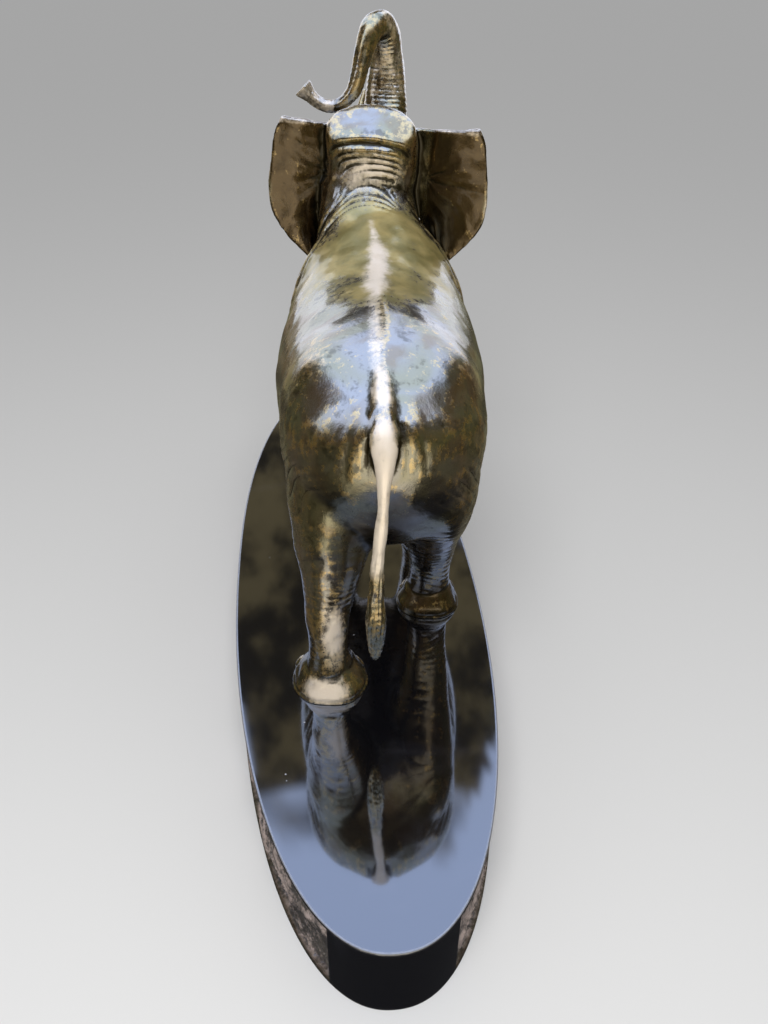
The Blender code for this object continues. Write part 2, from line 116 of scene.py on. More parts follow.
# %% Smooth curve through stations
def through_stations(rows, count, path_columns=3):
    """Evenly spaced rows on the cubic Hermite curve through the stations, each piece of which is
    (1 + 2t)(1 - t)^2 a + t(1 - t)^2 a' + t^2(3 - 2t) b + t^2(t - 1) b', slopes by central difference."""
    rows = np.array(rows, float)
    steps = np.linalg.norm(np.diff(rows[:, :path_columns], axis=0), axis=1)
    knots = np.concatenate([[0.0], np.cumsum(steps)])
    slopes = np.gradient(rows, knots, axis=0)
    at = np.linspace(0.0, knots[-1], count)
    left = np.clip(np.searchsorted(knots, at, side="right") - 1, 0, len(knots) - 2)
    gap = (knots[left + 1] - knots[left])[:, None]
    t = (at - knots[left])[:, None] / gap
    return (
        rows[left] * (1 + 2 * t) * (1 - t) ** 2
        + slopes[left] * gap * t * (1 - t) ** 2
        + rows[left + 1] * t * t * (3 - 2 * t)
        + slopes[left + 1] * gap * t * t * (t - 1)
    )


print("halfway from 0 to 1 to 0:", through_stations([(0, 0), (1, 1), (2, 0)], 5, 1)[1].round(2).tolist())


# %% Ovals and paths
def oval(sides, squareness=2.0):
    """Cosine and sine of the turn, each to the power 2 / squareness with its sign kept."""
    turn = np.linspace(0.0, 2 * math.pi, sides, endpoint=False)
    c, s = np.cos(turn), np.sin(turn)
    power = 2.0 / squareness
    return np.sign(c) * np.abs(c) ** power, np.sign(s) * np.abs(s) ** power


def path_axes(path):
    """Direction, side and back at each point of a path. The side starts level and is carried along: each
    keeps the last one's direction less its share along the path, so the tube never twists."""
    ahead = np.gradient(path, axis=0)
    ahead /= np.linalg.norm(ahead, axis=1)[:, None]
    side = np.array((1.0, 0.0, 0.0))
    sides = []
    for direction in ahead:
        side = side - direction * (side @ direction)
        side /= np.linalg.norm(side)
        sides.append(side)
    return ahead, np.array(sides), np.cross(sides, ahead)


print("four corners of a squarish oval:", [part.round(2).tolist() for part in oval(4, 2.6)])


# %% Closed shells
def quads(rings, sides):
    """Four-cornered faces between neighbouring rings, each closed on itself, as point numbers."""
    ring, step = np.meshgrid(np.arange(rings - 1), np.arange(sides), indexing="ij")
    a, b = ring * sides + step, ring * sides + (step + 1) % sides
    return np.stack([a, b, b + sides, a + sides], axis=-1).reshape(-1, 4).tolist()


def closed_form(name, rings):
    """A closed shell from an array (rings, sides, 3) in millimetres: quads between neighbouring rings, and
    a fan of triangles to the middle of the first and the last."""
    count, sides = rings.shape[:2]
    points = np.concatenate([rings.reshape(-1, 3), [rings[0].mean(axis=0)], [rings[-1].mean(axis=0)]])
    here, after = np.arange(sides), (np.arange(sides) + 1) % sides
    last = (count - 1) * sides
    first_cap = np.stack([np.full(sides, count * sides), after, here], axis=-1)
    last_cap = np.stack([np.full(sides, count * sides + 1), last + here, last + after], axis=-1)
    mesh = bpy.data.meshes.new(name)
    faces = quads(count, sides) + first_cap.tolist() + last_cap.tolist()
    mesh.from_pydata((points * MM).tolist(), [], faces)
    outward_faces(mesh)
    return mesh


def outward_faces(mesh):
    """Turns every face of a closed shell to point out."""
    shape = bmesh.new()
    shape.from_mesh(mesh)
    bmesh.ops.recalc_face_normals(shape, faces=shape.faces)
    shape.to_mesh(mesh)
    shape.free()


def swept(name, stations, steps, sides, squareness=2.0):
    """A tube: each ring is path + half-width * c * side + half-depth * s * back."""
    rows = through_stations(stations, steps)
    c, s = oval(sides, squareness)
    _, side, back = path_axes(rows[:, :3])
    across = rows[:, 3, None, None] * c[:, None] * side[:, None]
    deep = rows[:, 4, None, None] * s[:, None] * back[:, None]
    return closed_form(name, rows[:, None, :3] + across + deep)


print("two rings of four points make", len(quads(2, 4)), "faces")

# %% [markdown]
# ## Body, neck and legs
#
# The barrel's rings stand upright: each has its own top, underside and widest line, and is pinched towards
# the spine. The legs' rings lie level, and lean from the hip or shoulder to where the foot stands. The
# walk is what gives the piece its life, so each foot has a place of its own.

# %% Body and neck
# forward, half-width, height of the widest line, top, underside
TORSO = (
    (-147, 6, 176, 185, 164),
    (-143, 23, 176, 196, 150),
    (-134, 39, 176, 206, 130),
    (-118, 51.5, 175, 215, 106),
    (-95, 57, 174, 224, 92),
    (-68, 61, 168, 229, 85),
    (-35, 65.5, 161, 228, 79),
    (-5, 67, 158, 228, 76),
    (20, 66, 160, 232, 76.5),
    (40, 64, 163, 237, 80),
    (58, 61, 169, 242, 88),
    (76, 55, 176, 247, 101),
    (95, 46, 182, 244, 118),
    (108, 33, 188, 230, 139),
    (117, 15, 192, 210, 170),
)
TORSO_SQUARENESS = 2.15
BACK_PINCH = 0.10
# right, forward, up, half-width, half-depth, as in every path below
NECK = (
    (0, 30, 172, 48, 44),
    (-1, 52, 190, 46, 42),
    (-3, 73, 209, 42, 35),
    (-5, 90, 226, 37, 29),
    (-6.5, 104, 243, 34, 28),
    (-7, 113, 260, 31, 30),
    (-7, 117, 270, 20, 16),
)


def torso():
    """x = half-width * c * (1 - pinch * s^3 above the widest line), z = widest line + reach * s."""
    rows = through_stations([(y, 0, high, half, mid, low) for y, half, mid, high, low in TORSO], 60)
    c, s = oval(48, TORSO_SQUARENESS)
    y, high, half, mid, low = (rows[:, i, None] for i in (0, 2, 3, 4, 5))
    across = half * c * (1.0 - BACK_PINCH * np.clip(s, 0.0, 1.0) ** 3)
    tall = mid + np.where(s > 0, high - mid, mid - low) * s
    return closed_form("torso", np.stack([across, y + 0 * c, tall], axis=-1))


print("body is", TORSO[-1][0] - TORSO[0][0], "mm long")

# %% Legs
# share of the joint's place aside, share of the way to the sole, up, half-width, half-length
HIND_LEG = (
    (0.55, 0.00, 190, 16, 24),
    (0.80, 0.00, 162, 25, 39),
    (0.85, 0.06, 132, 27, 41),
    (0.86, 0.24, 104, 25.5, 33),
    (0.93, 0.55, 78, 19.5, 24),
    (1.00, 0.80, 54, 15.2, 18),
    (1.00, 0.92, 36, 14.0, 16.3),
    (1.00, 0.98, 24, 13.8, 16.2),
    (1.00, 1.00, 15, 15.4, 17.8),
    (1.00, 1.00, 9.5, 18.2, 20.4),
    (1.00, 1.00, 5, 21.8, 22.6),
    (1.00, 1.00, 0, 23.2, 23.4),
    (1.00, 1.00, -12, 23.4, 23.6),
)
FORE_LEG = (
    (0.40, 0.00, 196, 14, 20),
    (0.64, 0.00, 166, 21, 30),
    (0.80, 0.10, 132, 22, 29),
    (0.90, 0.32, 102, 19.5, 23),
    (0.97, 0.60, 74, 18, 20),
    (1.00, 0.78, 54, 17.2, 19),
    (1.00, 0.91, 36, 15.2, 16.3),
    (1.00, 0.97, 25, 15.6, 16.8),
    (1.00, 1.00, 15, 17.4, 19),
    (1.00, 1.00, 9.5, 19.8, 21.6),
    (1.00, 1.00, 5, 22.8, 24),
    (1.00, 1.00, 0, 24.2, 25.2),
    (1.00, 1.00, -12, 24.6, 25.6),
)
# stations, joint's place aside and forward, sole's place, and how stout the foot and the shank are
LEGS = {
    "hind_left": (HIND_LEG, (34.5, -90.0), (-34.5, -122.0), 1.07, 0.94),
    "hind_right": (HIND_LEG, (34.5, -90.0), (34.5, -43.0), 1.0, 1.07),
    "fore_left": (FORE_LEG, (42.0, 76.0), (-48.0, 118.0), 1.0, 1.0),
    "fore_right": (FORE_LEG, (42.0, 76.0), (36.0, 52.0), 1.0, 1.0),
}
STOUT_HEIGHTS = (12.0, 25.0, 55.0, 110.0)
LEG_SQUARENESS = 2.1


def leg_rows(stations, joint, sole, foot, shank):
    """Right, forward, up, half-width and half-length down a leg: joint + (sole - joint) * share."""
    across, along, up, half_width, half_length = np.array(stations, float).T
    side = math.copysign(1.0, sole[0])
    x = side * (joint[0] * across + (abs(sole[0]) - joint[0]) * along)
    y = joint[1] + (sole[1] - joint[1]) * along
    girth = np.interp(up, STOUT_HEIGHTS, (foot, shank, shank, 1.0))
    return through_stations(np.stack([x, y, up, half_width * girth, half_length], axis=1), 40)


def leg(name):
    """Level ovals: x = middle + half-width * c, y = middle + half-length * s."""
    rows = leg_rows(*LEGS[name])
    c, s = oval(36, LEG_SQUARENESS)
    x, y, up, half_width, half_length = (rows[:, i, None] for i in range(5))
    return closed_form(name, np.stack([x + half_width * c, y + half_length * s, up + 0 * c], axis=-1))


print("legs:", ", ".join(LEGS))

# %% [markdown]
# ## Head, ears, trunk and tusks
#
# The head is lifted and turned a little aside, so its parts are made facing straight ahead and then turned
# together about the neck. The trunk rises, bends over at the top and comes down into a small flared tip.
# The ears are thin bowed plates with a rolled rim.

# %% Head
HEAD_CENTRE = np.array((0.0, 122.0, 253.0))
HEAD_LIFT = math.radians(38.0)
HEAD_TURN = math.radians(-6.0)
HEAD_ROLL = math.radians(2.5)
HEAD_PIVOT = Vector((0.0, 85.0, 235.0))
HEAD_PLACE = Vector((-7.0, 85.0, 235.0))
HEAD_SQUARENESS = 2.6
FACE_TAPER = 0.30
# up the head's own axis, half-width, reach to the front, reach to the back
HEAD = (
    (-41, 9, 0, 6),
    (-35, 19, 5, 15),
    (-24, 25, 10, 21),
    (-14, 29, 24, 26),
    (-4, 31.5, 40, 28),
    (10, 33, 44, 28),
    (24, 32.5, 36, 26),
    (36, 32, 28, 21),
    (44, 31.5, 25, 17),
    (49.5, 31, 22, 14.5),
    (52.5, 30, 19, 12.5),
    (53.5, 26, 16, 10.5),
)
LOWER_JAW = (
    (0, 104, 230, 20, 16),
    (0, 122, 224, 18, 13),
    (0, 138, 224, 14, 10),
    (0, 153, 229, 10, 7),
    (0, 164, 236, 6, 5),
    (0, 170, 242, 2, 2),
)
TUSK = (
    (12, 138, 256, 6.5, 6.5),
    (15, 152, 261, 6.0, 6.0),
    (17.5, 166, 268, 5.2, 5.2),
    (17, 177, 280, 4.4, 4.4),
    (14.5, 183, 294, 3.2, 3.2),
    (13, 185, 303, 1.8, 1.8),
)


def head():
    """Rings square to the head's own axis: width * c * (1 - taper * s^2 in front), reach * s ahead."""
    ahead_way = np.array((0.0, math.cos(HEAD_LIFT), math.sin(HEAD_LIFT)))
    up_way = np.array((0.0, -math.sin(HEAD_LIFT), math.cos(HEAD_LIFT)))
    rows = through_stations(HEAD, 40, path_columns=1)
    c, s = oval(48, HEAD_SQUARENESS)
    along, half, ahead, behind = (rows[:, i, None] for i in range(4))
    reach = np.where(s > 0, ahead, behind) * s
    rings = HEAD_CENTRE + along[..., None] * up_way + reach[..., None] * ahead_way
    rings[..., 0] += half * c * (1.0 - FACE_TAPER * np.clip(s, 0.0, 1.0) ** 2)
    return closed_form("head", rings)


print("head is", HEAD[-1][0] - HEAD[0][0], "mm along its own axis")

# %% Trunk
TRUNK = (
    (0.5, 134, 259, 22, 20),
    (2, 150, 267, 20.5, 19.5),
    (3.5, 162, 280, 18, 17.5),
    (4, 169, 296, 15.5, 15),
    (3.5, 171.5, 312, 13.8, 13.5),
    (2.5, 171, 327, 12.2, 12),
    (1.3, 166, 340, 10.8, 10.4),
    (-1.8, 158.5, 347.5, 9.3, 8.8),
    (-6.5, 151, 345, 8.0, 7.8),
    (-10.5, 146, 334, 6.9, 6.7),
    (-13.5, 143, 320, 5.8, 5.6),
    (-18.5, 141, 306, 4.9, 4.8),
    (-28.5, 140, 297.5, 4.4, 4.4),
    (-40, 140, 298, 4.1, 4.1),
    (-47.5, 140, 303, 4.4, 4.4),
    (-53, 140, 308, 7.0, 6.6),
)
TRUNK_SQUARENESS = 2.6
NOSTRIL_SHARE = 0.66
NOSTRIL_DEPTH = 4.0


def trunk():
    """A tube whose end is drawn in to a lip and sunk back along the path, which cups the tip."""
    rows = through_stations(TRUNK, 240)
    c, s = oval(28, TRUNK_SQUARENESS)
    ahead, side, back = path_axes(rows[:, :3])
    across = rows[:, 3, None, None] * c[:, None] * side[:, None]
    rings = rows[:, None, :3] + across + rows[:, 4, None, None] * s[:, None] * back[:, None]
    tip = rows[-1, :3]
    lip = tip + NOSTRIL_SHARE * (rings[-1] - tip)
    return closed_form("trunk", np.concatenate([rings, [lip, lip - NOSTRIL_DEPTH * ahead[-1]]]))


print("trunk tip stands", TRUNK[-1][2], "mm above the soles")

# %% Ears
# share of the way down, root aside and up, free edge aside and up
EAR = (
    (0.00, 27, 293, 66, 297),
    (0.10, 29, 286, 70, 290),
    (0.35, 32, 266, 74, 268),
    (0.60, 34, 246, 76, 246),
    (0.80, 36, 230, 71, 229),
    (0.92, 38, 218, 60, 215),
    (1.00, 40, 207, 46, 203),
)
EAR_HEIGHT = 100.0
EAR_ASIDE = 6.0
EAR_FORWARD = 106.0
EAR_SWEEP = 12.0
EAR_BOW = 5.0
EAR_THICKNESS = 4.2
EAR_RIM = 0.35
EAR_RIM_REACH = 0.07


def ear_plate(out):
    """How far forward the ear lies: forward - sweep * out - bow * sin(pi * out), out from root to edge."""
    return EAR_FORWARD - EAR_SWEEP * out - EAR_BOW * np.sin(math.pi * np.clip(out, 0.0, 1.0))


def ear(side):
    """A plate between root and edge, whose middle ear_plate() gives, with half its thickness on each side,
    which swells by e^-(distance to the rim)^2."""
    down = through_stations([(share * EAR_HEIGHT, *rest) for share, *rest in EAR], 60, path_columns=1)
    share = down[:, 0, None] / EAR_HEIGHT
    out = np.linspace(-0.15, 1.0, 46)
    across = down[:, 1, None] + (down[:, 3] - down[:, 1])[:, None] * out
    up = down[:, 2, None] + (down[:, 4] - down[:, 2])[:, None] * out
    ahead = ear_plate(out) + 0 * up
    rim = bell(out, 1, EAR_RIM_REACH) + bell(share, 0, EAR_RIM_REACH)
    half = 0.5 * EAR_THICKNESS * (1.0 + EAR_RIM * np.clip(rim, 0.0, 1.0))
    back = np.stack([EAR_ASIDE + side * across, ahead - half, up], axis=-1)
    front = np.stack([EAR_ASIDE + side * across, ahead + half, up], axis=-1)
    return closed_form("ear", np.concatenate([front, back[:, ::-1]], axis=1))


print("ear is", EAR[0][4] - EAR[-1][4], "mm tall")

# %% Tail
TAIL = (
    (-1, -104, 212, 8, 8),
    (-1.5, -122, 207, 8, 7.5),
    (-1.5, -136, 199.5, 7.8, 7),
    (-1.2, -145, 191, 7.2, 6),
    (-1.2, -150.5, 181, 5.2, 4.6),
    (-1.5, -153, 170, 3.6, 3.4),
    (-2.8, -155, 145, 3.4, 3.3),
    (-5, -155.5, 120, 3.9, 3.6),
    (-5.5, -155.5, 95, 5.2, 4.2),
    (-5.5, -155, 76, 5.6, 4.4),
    (-5.8, -154, 60, 4.4, 3.6),
    (-5.8, -153.5, 49, 1.8, 1.6),
)
print("tail hangs to", TAIL[-1][2], "mm above the soles")

# %% [markdown]
# ## One cast skin
#
# The real animal is one casting with no joints, so its forms have to melt into one another. They could be
# joined by Booleans, which leave hard lines. A voxel remesh makes one closed skin of whatever overlaps, and
# smoothing rounds the places where forms meet. It is done twice: coarsely for the broad forms, so that a
# leg flows into the body, and finely once the thin ones are added.

# %% Melting forms together
BODY_VOXEL_MM, BODY_SMOOTHING = 2.4, 14
SKIN_VOXEL_MM, SKIN_SMOOTHING = 1.15, 4
HEAD_MATRIX = (
    Matrix.Translation(HEAD_PLACE) @ Matrix.Rotation(HEAD_TURN, 4, "Z") @ Matrix.Rotation(HEAD_ROLL, 4, "Y")
    @ Matrix.Translation(-HEAD_PIVOT)
)


def with_head(mesh):
    """Turns a mesh made straight ahead with the head; lengths in the matrix are millimetres."""
    in_metres = Matrix.Scale(MM, 4) @ HEAD_MATRIX @ Matrix.Scale(1.0 / MM, 4)
    mesh.transform(in_metres)
    return mesh


def joined(name, meshes):
    """All meshes in one, still overlapping."""
    shape = bmesh.new()
    for mesh in meshes:
        shape.from_mesh(mesh)
    whole = bpy.data.meshes.new(name)
    shape.to_mesh(whole)
    shape.free()
    return whole


def finished(mesh, **modifiers):
    """The mesh after the modifiers, each given as TYPE=settings and applied in order."""
    obj = bpy.data.objects.new("work", mesh)
    bpy.context.scene.collection.objects.link(obj)
    for kind, settings in modifiers.items():
        modifier = obj.modifiers.new(kind, kind)
        for key, value in settings.items():
            setattr(modifier, key, value)
    bpy.context.view_layer.update()
    result = bpy.data.meshes.new_from_object(obj.evaluated_get(bpy.context.evaluated_depsgraph_get()))
    bpy.data.objects.remove(obj)
    return result


def melted(mesh, voxel_mm, smoothing):
    """One closed skin of cubes this large, softened this many times."""
    return finished(
        mesh,
        REMESH={"mode": "VOXEL", "voxel_size": voxel_mm * MM},
        SMOOTH={"iterations": smoothing, "factor": 0.5},
    )


broad = [torso(), swept("neck", NECK, 24, 40), with_head(head()), *[leg(name) for name in LEGS]]
bulk = melted(joined("bulk", broad), BODY_VOXEL_MM, BODY_SMOOTHING)
mirrored_tusk = [(-x, *rest) for x, *rest in TUSK]
on_head = [trunk(), swept("jaw", LOWER_JAW, 24, 24), swept("tusk", TUSK, 30, 16)]
on_head += [swept("tusk", mirrored_tusk, 30, 16), ear(-1), ear(1)]
thin = [with_head(form) for form in on_head] + [swept("tail", TAIL, 120, 20)]
skin = melted(joined("skin", [bulk, *thin]), SKIN_VOXEL_MM, SKIN_SMOOTHING)
print("skin has", len(skin.vertices), "points")

# %% [markdown]
# ## Tools for relief
#
# The rest is what a modeller does with fingers and wire tools: swellings over bones, creases in loose skin,
# rows of wrinkles. Each is a height worked out for all points at once and added along the skin's outward
# direction. Random noise on a lattice keeps any two of them from looking alike.

# %% Noise and points
def points_of(mesh):
    """Places in millimetres and outward directions of all points, as two arrays."""
    count = len(mesh.vertices)
    places, outward = np.empty(3 * count), np.empty(3 * count)
    mesh.vertices.foreach_get("co", places)
    mesh.vertex_normals.foreach_get("vector", outward)
    return places.reshape(-1, 3) / MM, outward.reshape(-1, 3)


LATTICE = np.random.default_rng(11).uniform(-1.0, 1.0, 4096)


def noise(places, size, seed=0):
    """Heights from -1 to 1: random values at the corners of cubes of this size, blended inside each cube by
    3t^2 - 2t^3 along all three axes."""
    at = places / size + 31.7 * seed
    cell = np.floor(at).astype(np.int64)
    t = at - cell
    t = t * t * (3.0 - 2.0 * t)
    total = np.zeros(len(at))
    for corner in np.ndindex(2, 2, 2):
        i, j, k = (cell + corner).T
        key = (i * 73856093) ^ (j * 19349663) ^ (k * 83492791)
        total += np.where(corner, t, 1.0 - t).prod(axis=1) * LATTICE[key & 4095]
    return total


def near(places, middle, reach):
    """1 at the middle, falling as e^-1.5 r^2 with r measured in the given reach along each axis."""
    return np.exp(-1.5 * (((places - middle) / reach) ** 2).sum(axis=1))


def both_sides(places):
    """The same places with their distance aside made positive, so one form serves both sides."""
    return places * np.where(places[:, :1] < 0, (-1.0, 1.0, 1.0), 1.0)


def turned(places, matrix):
    """Places after a turn and shift."""
    return places @ matrix[:3, :3].T + matrix[:3, 3]


print("noise in the first three cells:", noise(np.eye(3), 0.7).round(2))


# %% Creases
def crease(places, surface, stations, width, depth, lip=0.45):
    """A fold along a smooth path laid on the skin: depth * (lip * e^-((d - 1.9) / 0.9)^2 - e^-d^2), where d
    is the distance to the path over the width, fading to nothing at both ends."""
    path = through_stations(stations, 60)
    path = np.array([surface.find_nearest(Vector(p * MM))[0] for p in path]) / MM
    reach = 4.0 * width
    inside = ((places > path.min(axis=0) - reach) & (places < path.max(axis=0) + reach)).all(axis=1)
    chosen = np.flatnonzero(inside)
    away = np.linalg.norm(places[chosen, None] - path[None], axis=2)
    d = away.min(axis=1) / width
    t = away.argmin(axis=1) / (len(path) - 1.0)
    fade = np.clip(4.0 * t * (1.0 - t), 0.0, 1.0) ** 0.7
    push = np.zeros(len(places))
    push[chosen] = fade * depth * (lip * bell(d, 1.9, 0.9) - np.exp(-(d**2)))
    return push


def wrinkles(places, direction, pitch, depth, seed, wander=0.9, sharpness=3.0):
    """Rows of creases: -depth * (1 - |sin a|)^sharpness with a = pi * (distance along + wander) / pitch,
    and the wander a noise, so rows bend, meet and part."""
    direction = np.array(direction, float) / np.linalg.norm(direction)
    bent = places @ direction + wander * pitch * noise(places, 3.2 * pitch, seed)
    valley = (1.0 - np.abs(np.sin(math.pi * bent / pitch))) ** sharpness
    broken = np.clip(0.65 + 0.7 * noise(places, 4.5 * pitch, seed + 1), 0.0, 1.0)
    return -depth * valley * broken


print("wrinkles and creases ready")

# %% [markdown]
# ## Muscles and bones
#
# Under the skin the hip bones, shoulder blades, elbows and the spine stand out, and the flank sinks before
# the hind leg. The bronze catches the light along them, which is what draws the animal from a few steps
# away.

# %% Swellings
# aside, forward, up, reach in each of the three, how far out
BODY_SWELLINGS = {
    "hip bone": (34, -96, 208, 20, 22, 14, 3.0),
    "hollow before the hip": (30, -58, 222, 24, 16, 14, -2.2),
    "haunch": (50, -98, 158, 18, 26, 30, 2.2),
    "flank hollow": (58, -60, 150, 16, 16, 34, -3.0),
    "shoulder blade": (46, 74, 176, 16, 22, 34, 4.0),
    "hollow behind the shoulder": (44, 42, 200, 18, 12, 26, -2.5),
    "spine": (0, -45, 229, 6, 80, 14, 1.8),
    "fold beside the tail": (12, -138, 192, 8, 12, 18, 1.4),
    "elbow": (40, 62, 118, 14, 10, 14, 3.0),
}
HEAD_SWELLINGS = {
    "cheek": (26, 128, 246, 12, 16, 14, 3.0),
    "brow": (26, 136, 274, 9, 10, 7, 2.5),
    "temple hollow": (32, 118, 270, 10, 9, 10, -2.5),
    "tusk socket": (17, 156, 268, 8, 10, 9, 2.0),
}


def swellings(places, table):
    """The sum of amount * near(place) over the table, each form on both sides."""
    paired = both_sides(places)
    return sum(a * near(paired, (x, y, z), reach) for x, y, z, *reach, a in table.values())


def in_head(places):
    """Places as they would be with the head straight ahead."""
    return turned(places, np.array(HEAD_MATRIX.inverted()))


print(len(BODY_SWELLINGS) + len(HEAD_SWELLINGS), "swellings")

# %% [markdown]
# ## Trunk and tail
#
# The front of a trunk is ringed by tight folds. Here each point looks up the nearest place on the trunk's
# path, which gives how far along it lies and which way it faces, so the rings follow the bend. The tail
# uses the same lookup for the long hairs of its tuft.

# %% Along a path
TRUNK_RING_PITCH = 4.7
TRUNK_RING_DEPTH = 0.5
# how much closer the rings stand at the tip
TRUNK_RING_CLOSING = 0.45
UNDER_PITCH, UNDER_DEPTH = 3.4, 0.45
TUFT_BEGINS = 0.52
TUFT_RELIEF = 1.25


def along_path(places, stations, count=400):
    """For each point: how far along the path it lies in millimetres, the path's length, its distance over
    the half-width there, and how far it faces the path's side and back, as cosine and sine."""
    rows = through_stations(stations, count)
    _, side, back = path_axes(rows[:, :3])
    steps = np.linalg.norm(np.diff(rows[:, :3], axis=0), axis=1)
    run = np.concatenate([[0.0], np.cumsum(steps)])
    size = rows[:, 3:5].max(axis=1)
    nearest = np.zeros(len(places), int)
    for block in np.array_split(np.arange(len(places)), max(1, len(places) // 4000)):
        away = np.linalg.norm(places[block, None] - rows[None, :, :3], axis=2)
        nearest[block] = (away / size).argmin(axis=1)
    off = places - rows[nearest, :3]
    across, deep = (off * side[nearest]).sum(axis=1), (off * back[nearest]).sum(axis=1)
    spread = np.hypot(across, deep) + 1e-9
    away = np.linalg.norm(off, axis=1) / size[nearest]
    return run[nearest], run[-1], away, across / spread, deep / spread


def on_trunk(places):
    """Rings across the trunk's back: depth * (0.35 |sin a|^0.8 - (1 - |sin a|)^2.2), where a turns by pi
    from ring to ring, and rings draw closer and shallower towards the tip. Fine wrinkles lie under it."""
    chosen = np.flatnonzero((places[:, 1] > 128) & (places[:, 2] > 262))
    run, length, off, across, deep = along_path(places[chosen], TRUNK)
    share = run / length
    on_it = ramp(off, 1.55, 1.35) * ramp(share, 0.07, 0.12)
    turns = length / (TRUNK_RING_CLOSING * TRUNK_RING_PITCH)
    turn = math.pi * turns * -np.log(1.0 - TRUNK_RING_CLOSING * share)
    turn = turn + 0.5 * noise(places[chosen], 9.0, 5)
    valley = (1.0 - np.abs(np.sin(turn))) ** 2.2
    roll = np.abs(np.sin(turn)) ** 0.8
    dorsal = np.clip(0.5 + 0.9 * deep, 0.0, 1.0)
    small = np.clip((1.0 - share) / 0.6, 0.5, 1.0)
    rings = TRUNK_RING_DEPTH * small * dorsal * (0.35 * roll - valley)
    under = wrinkles(places[chosen], (0, 0.3, 1), UNDER_PITCH, UNDER_DEPTH, 9) * np.clip(-deep, 0.0, 1.0)
    push = np.zeros(len(places))
    push[chosen] = on_it * ramp(share, 0.985, 0.965) * (rings + under)
    return push


def on_tail(places):
    """Hairs of the tuft: relief * (|sin(4.5 * angle + bend)| - 0.7) round the tail, which makes nine, from
    halfway down it."""
    chosen = np.flatnonzero((places[:, 1] < -146) & (places[:, 2] < 186) & (np.abs(places[:, 0] + 4) < 14))
    run, length, off, across, deep = along_path(places[chosen], TAIL, 200)
    angle = np.arctan2(deep, across)
    hair = np.abs(np.sin(4.5 * angle + 0.08 * run + 0.8 * noise(places[chosen], 7.0, 3))) - 0.7
    tuft = ramp(run / length, TUFT_BEGINS, TUFT_BEGINS + 0.2)
    push = np.zeros(len(places))
    push[chosen] = (off < 1.6) * TUFT_RELIEF * hair * tuft
    return push


print("trunk rings stand", TRUNK_RING_PITCH, "mm apart at its root")

# %% [markdown]
# ## Skin folds
#
# Loose skin creases where it has to stretch: across the nape under the raised head, behind the ears, from
# the neck over the shoulder, round each knee and ankle, in the groin and beside the tail. The main folds
# are laid one by one as short paths; the rest are rows of wrinkles held to one region each.

# %% Single folds
# width and depth of the groove, then its path
BODY_FOLDS = (
    (1.5, 0.4, ((3, -138, 211), (8, -143, 202), (11, -147, 186), (10, -148, 168))),
    (1.8, 0.2, ((8, -136, 210), (16, -142, 197), (20, -142, 180), (20, -141, 164))),
    (2.4, 1.1, ((60, -52, 170), (59, -58, 140), (54, -62, 118), (46, -62, 98))),
    (2.0, 0.7, ((58, -44, 150), (57, -46, 128), (50, -50, 104))),
    (2.4, 1.0, ((22, 84, 246), (36, 78, 228), (48, 66, 206), (55, 52, 184))),
    (2.2, 0.8, ((28, 74, 242), (42, 64, 222), (53, 50, 198), (58, 40, 174))),
    (2.4, 0.9, ((30, 92, 244), (42, 88, 222), (48, 84, 200), (50, 82, 176))),
    (2.2, 0.7, ((34, 96, 232), (42, 96, 212), (44, 94, 190))),
    (2.2, 1.0, ((52, 46, 150), (50, 44, 128), (46, 48, 108))),
    (2.0, 0.7, ((55, 38, 142), (54, 36, 122), (48, 38, 98))),
    (2.4, 0.8, ((52, 96, 160), (50, 100, 140), (46, 104, 122))),
)
NAPE_ARCS = 9
NAPE_WIDTH = 1.0
NAPE_DEPTH, NAPE_SHALLOWING = 0.55, 0.03
NAPE_ASIDE = -6.0
NAPE_START = np.array((82.0, 281.0))
NAPE_STEP = np.array((-1.2, -4.0))


def nape_arc(i):
    """One fold across the nape from ear to ear: back by 0.4 bend t^2 and down by bend t^2 + 4 t^4, with t
    from -1 to 1."""
    y, z = NAPE_START + i * NAPE_STEP
    spread = 27.0 + 2.2 * i
    bend = 5.0 + 2.2 * i
    shares = np.linspace(-1.0, 1.0, 7)
    drop = bend * shares**2
    return np.stack([spread * shares + NAPE_ASIDE, y - 0.4 * drop, z - drop - 4.0 * shares**4], axis=1)


def body_folds(places, surface):
    """All single folds on both sides, and the arcs across the nape."""
    push = np.zeros(len(places))
    for width, depth, path in BODY_FOLDS:
        for side in (-1, 1):
            push += crease(places, surface, [(side * x, y, z) for x, y, z in path], width, depth)
    arcs = np.zeros(len(places))
    for i in range(NAPE_ARCS):
        arcs += crease(places, surface, nape_arc(i), NAPE_WIDTH, NAPE_DEPTH - NAPE_SHALLOWING * i, lip=0.8)
    return push + arcs * np.clip(0.75 + 0.9 * noise(places, 13.0, 51), 0.15, 1.4)


print(2 * len(BODY_FOLDS) + NAPE_ARCS, "single folds")

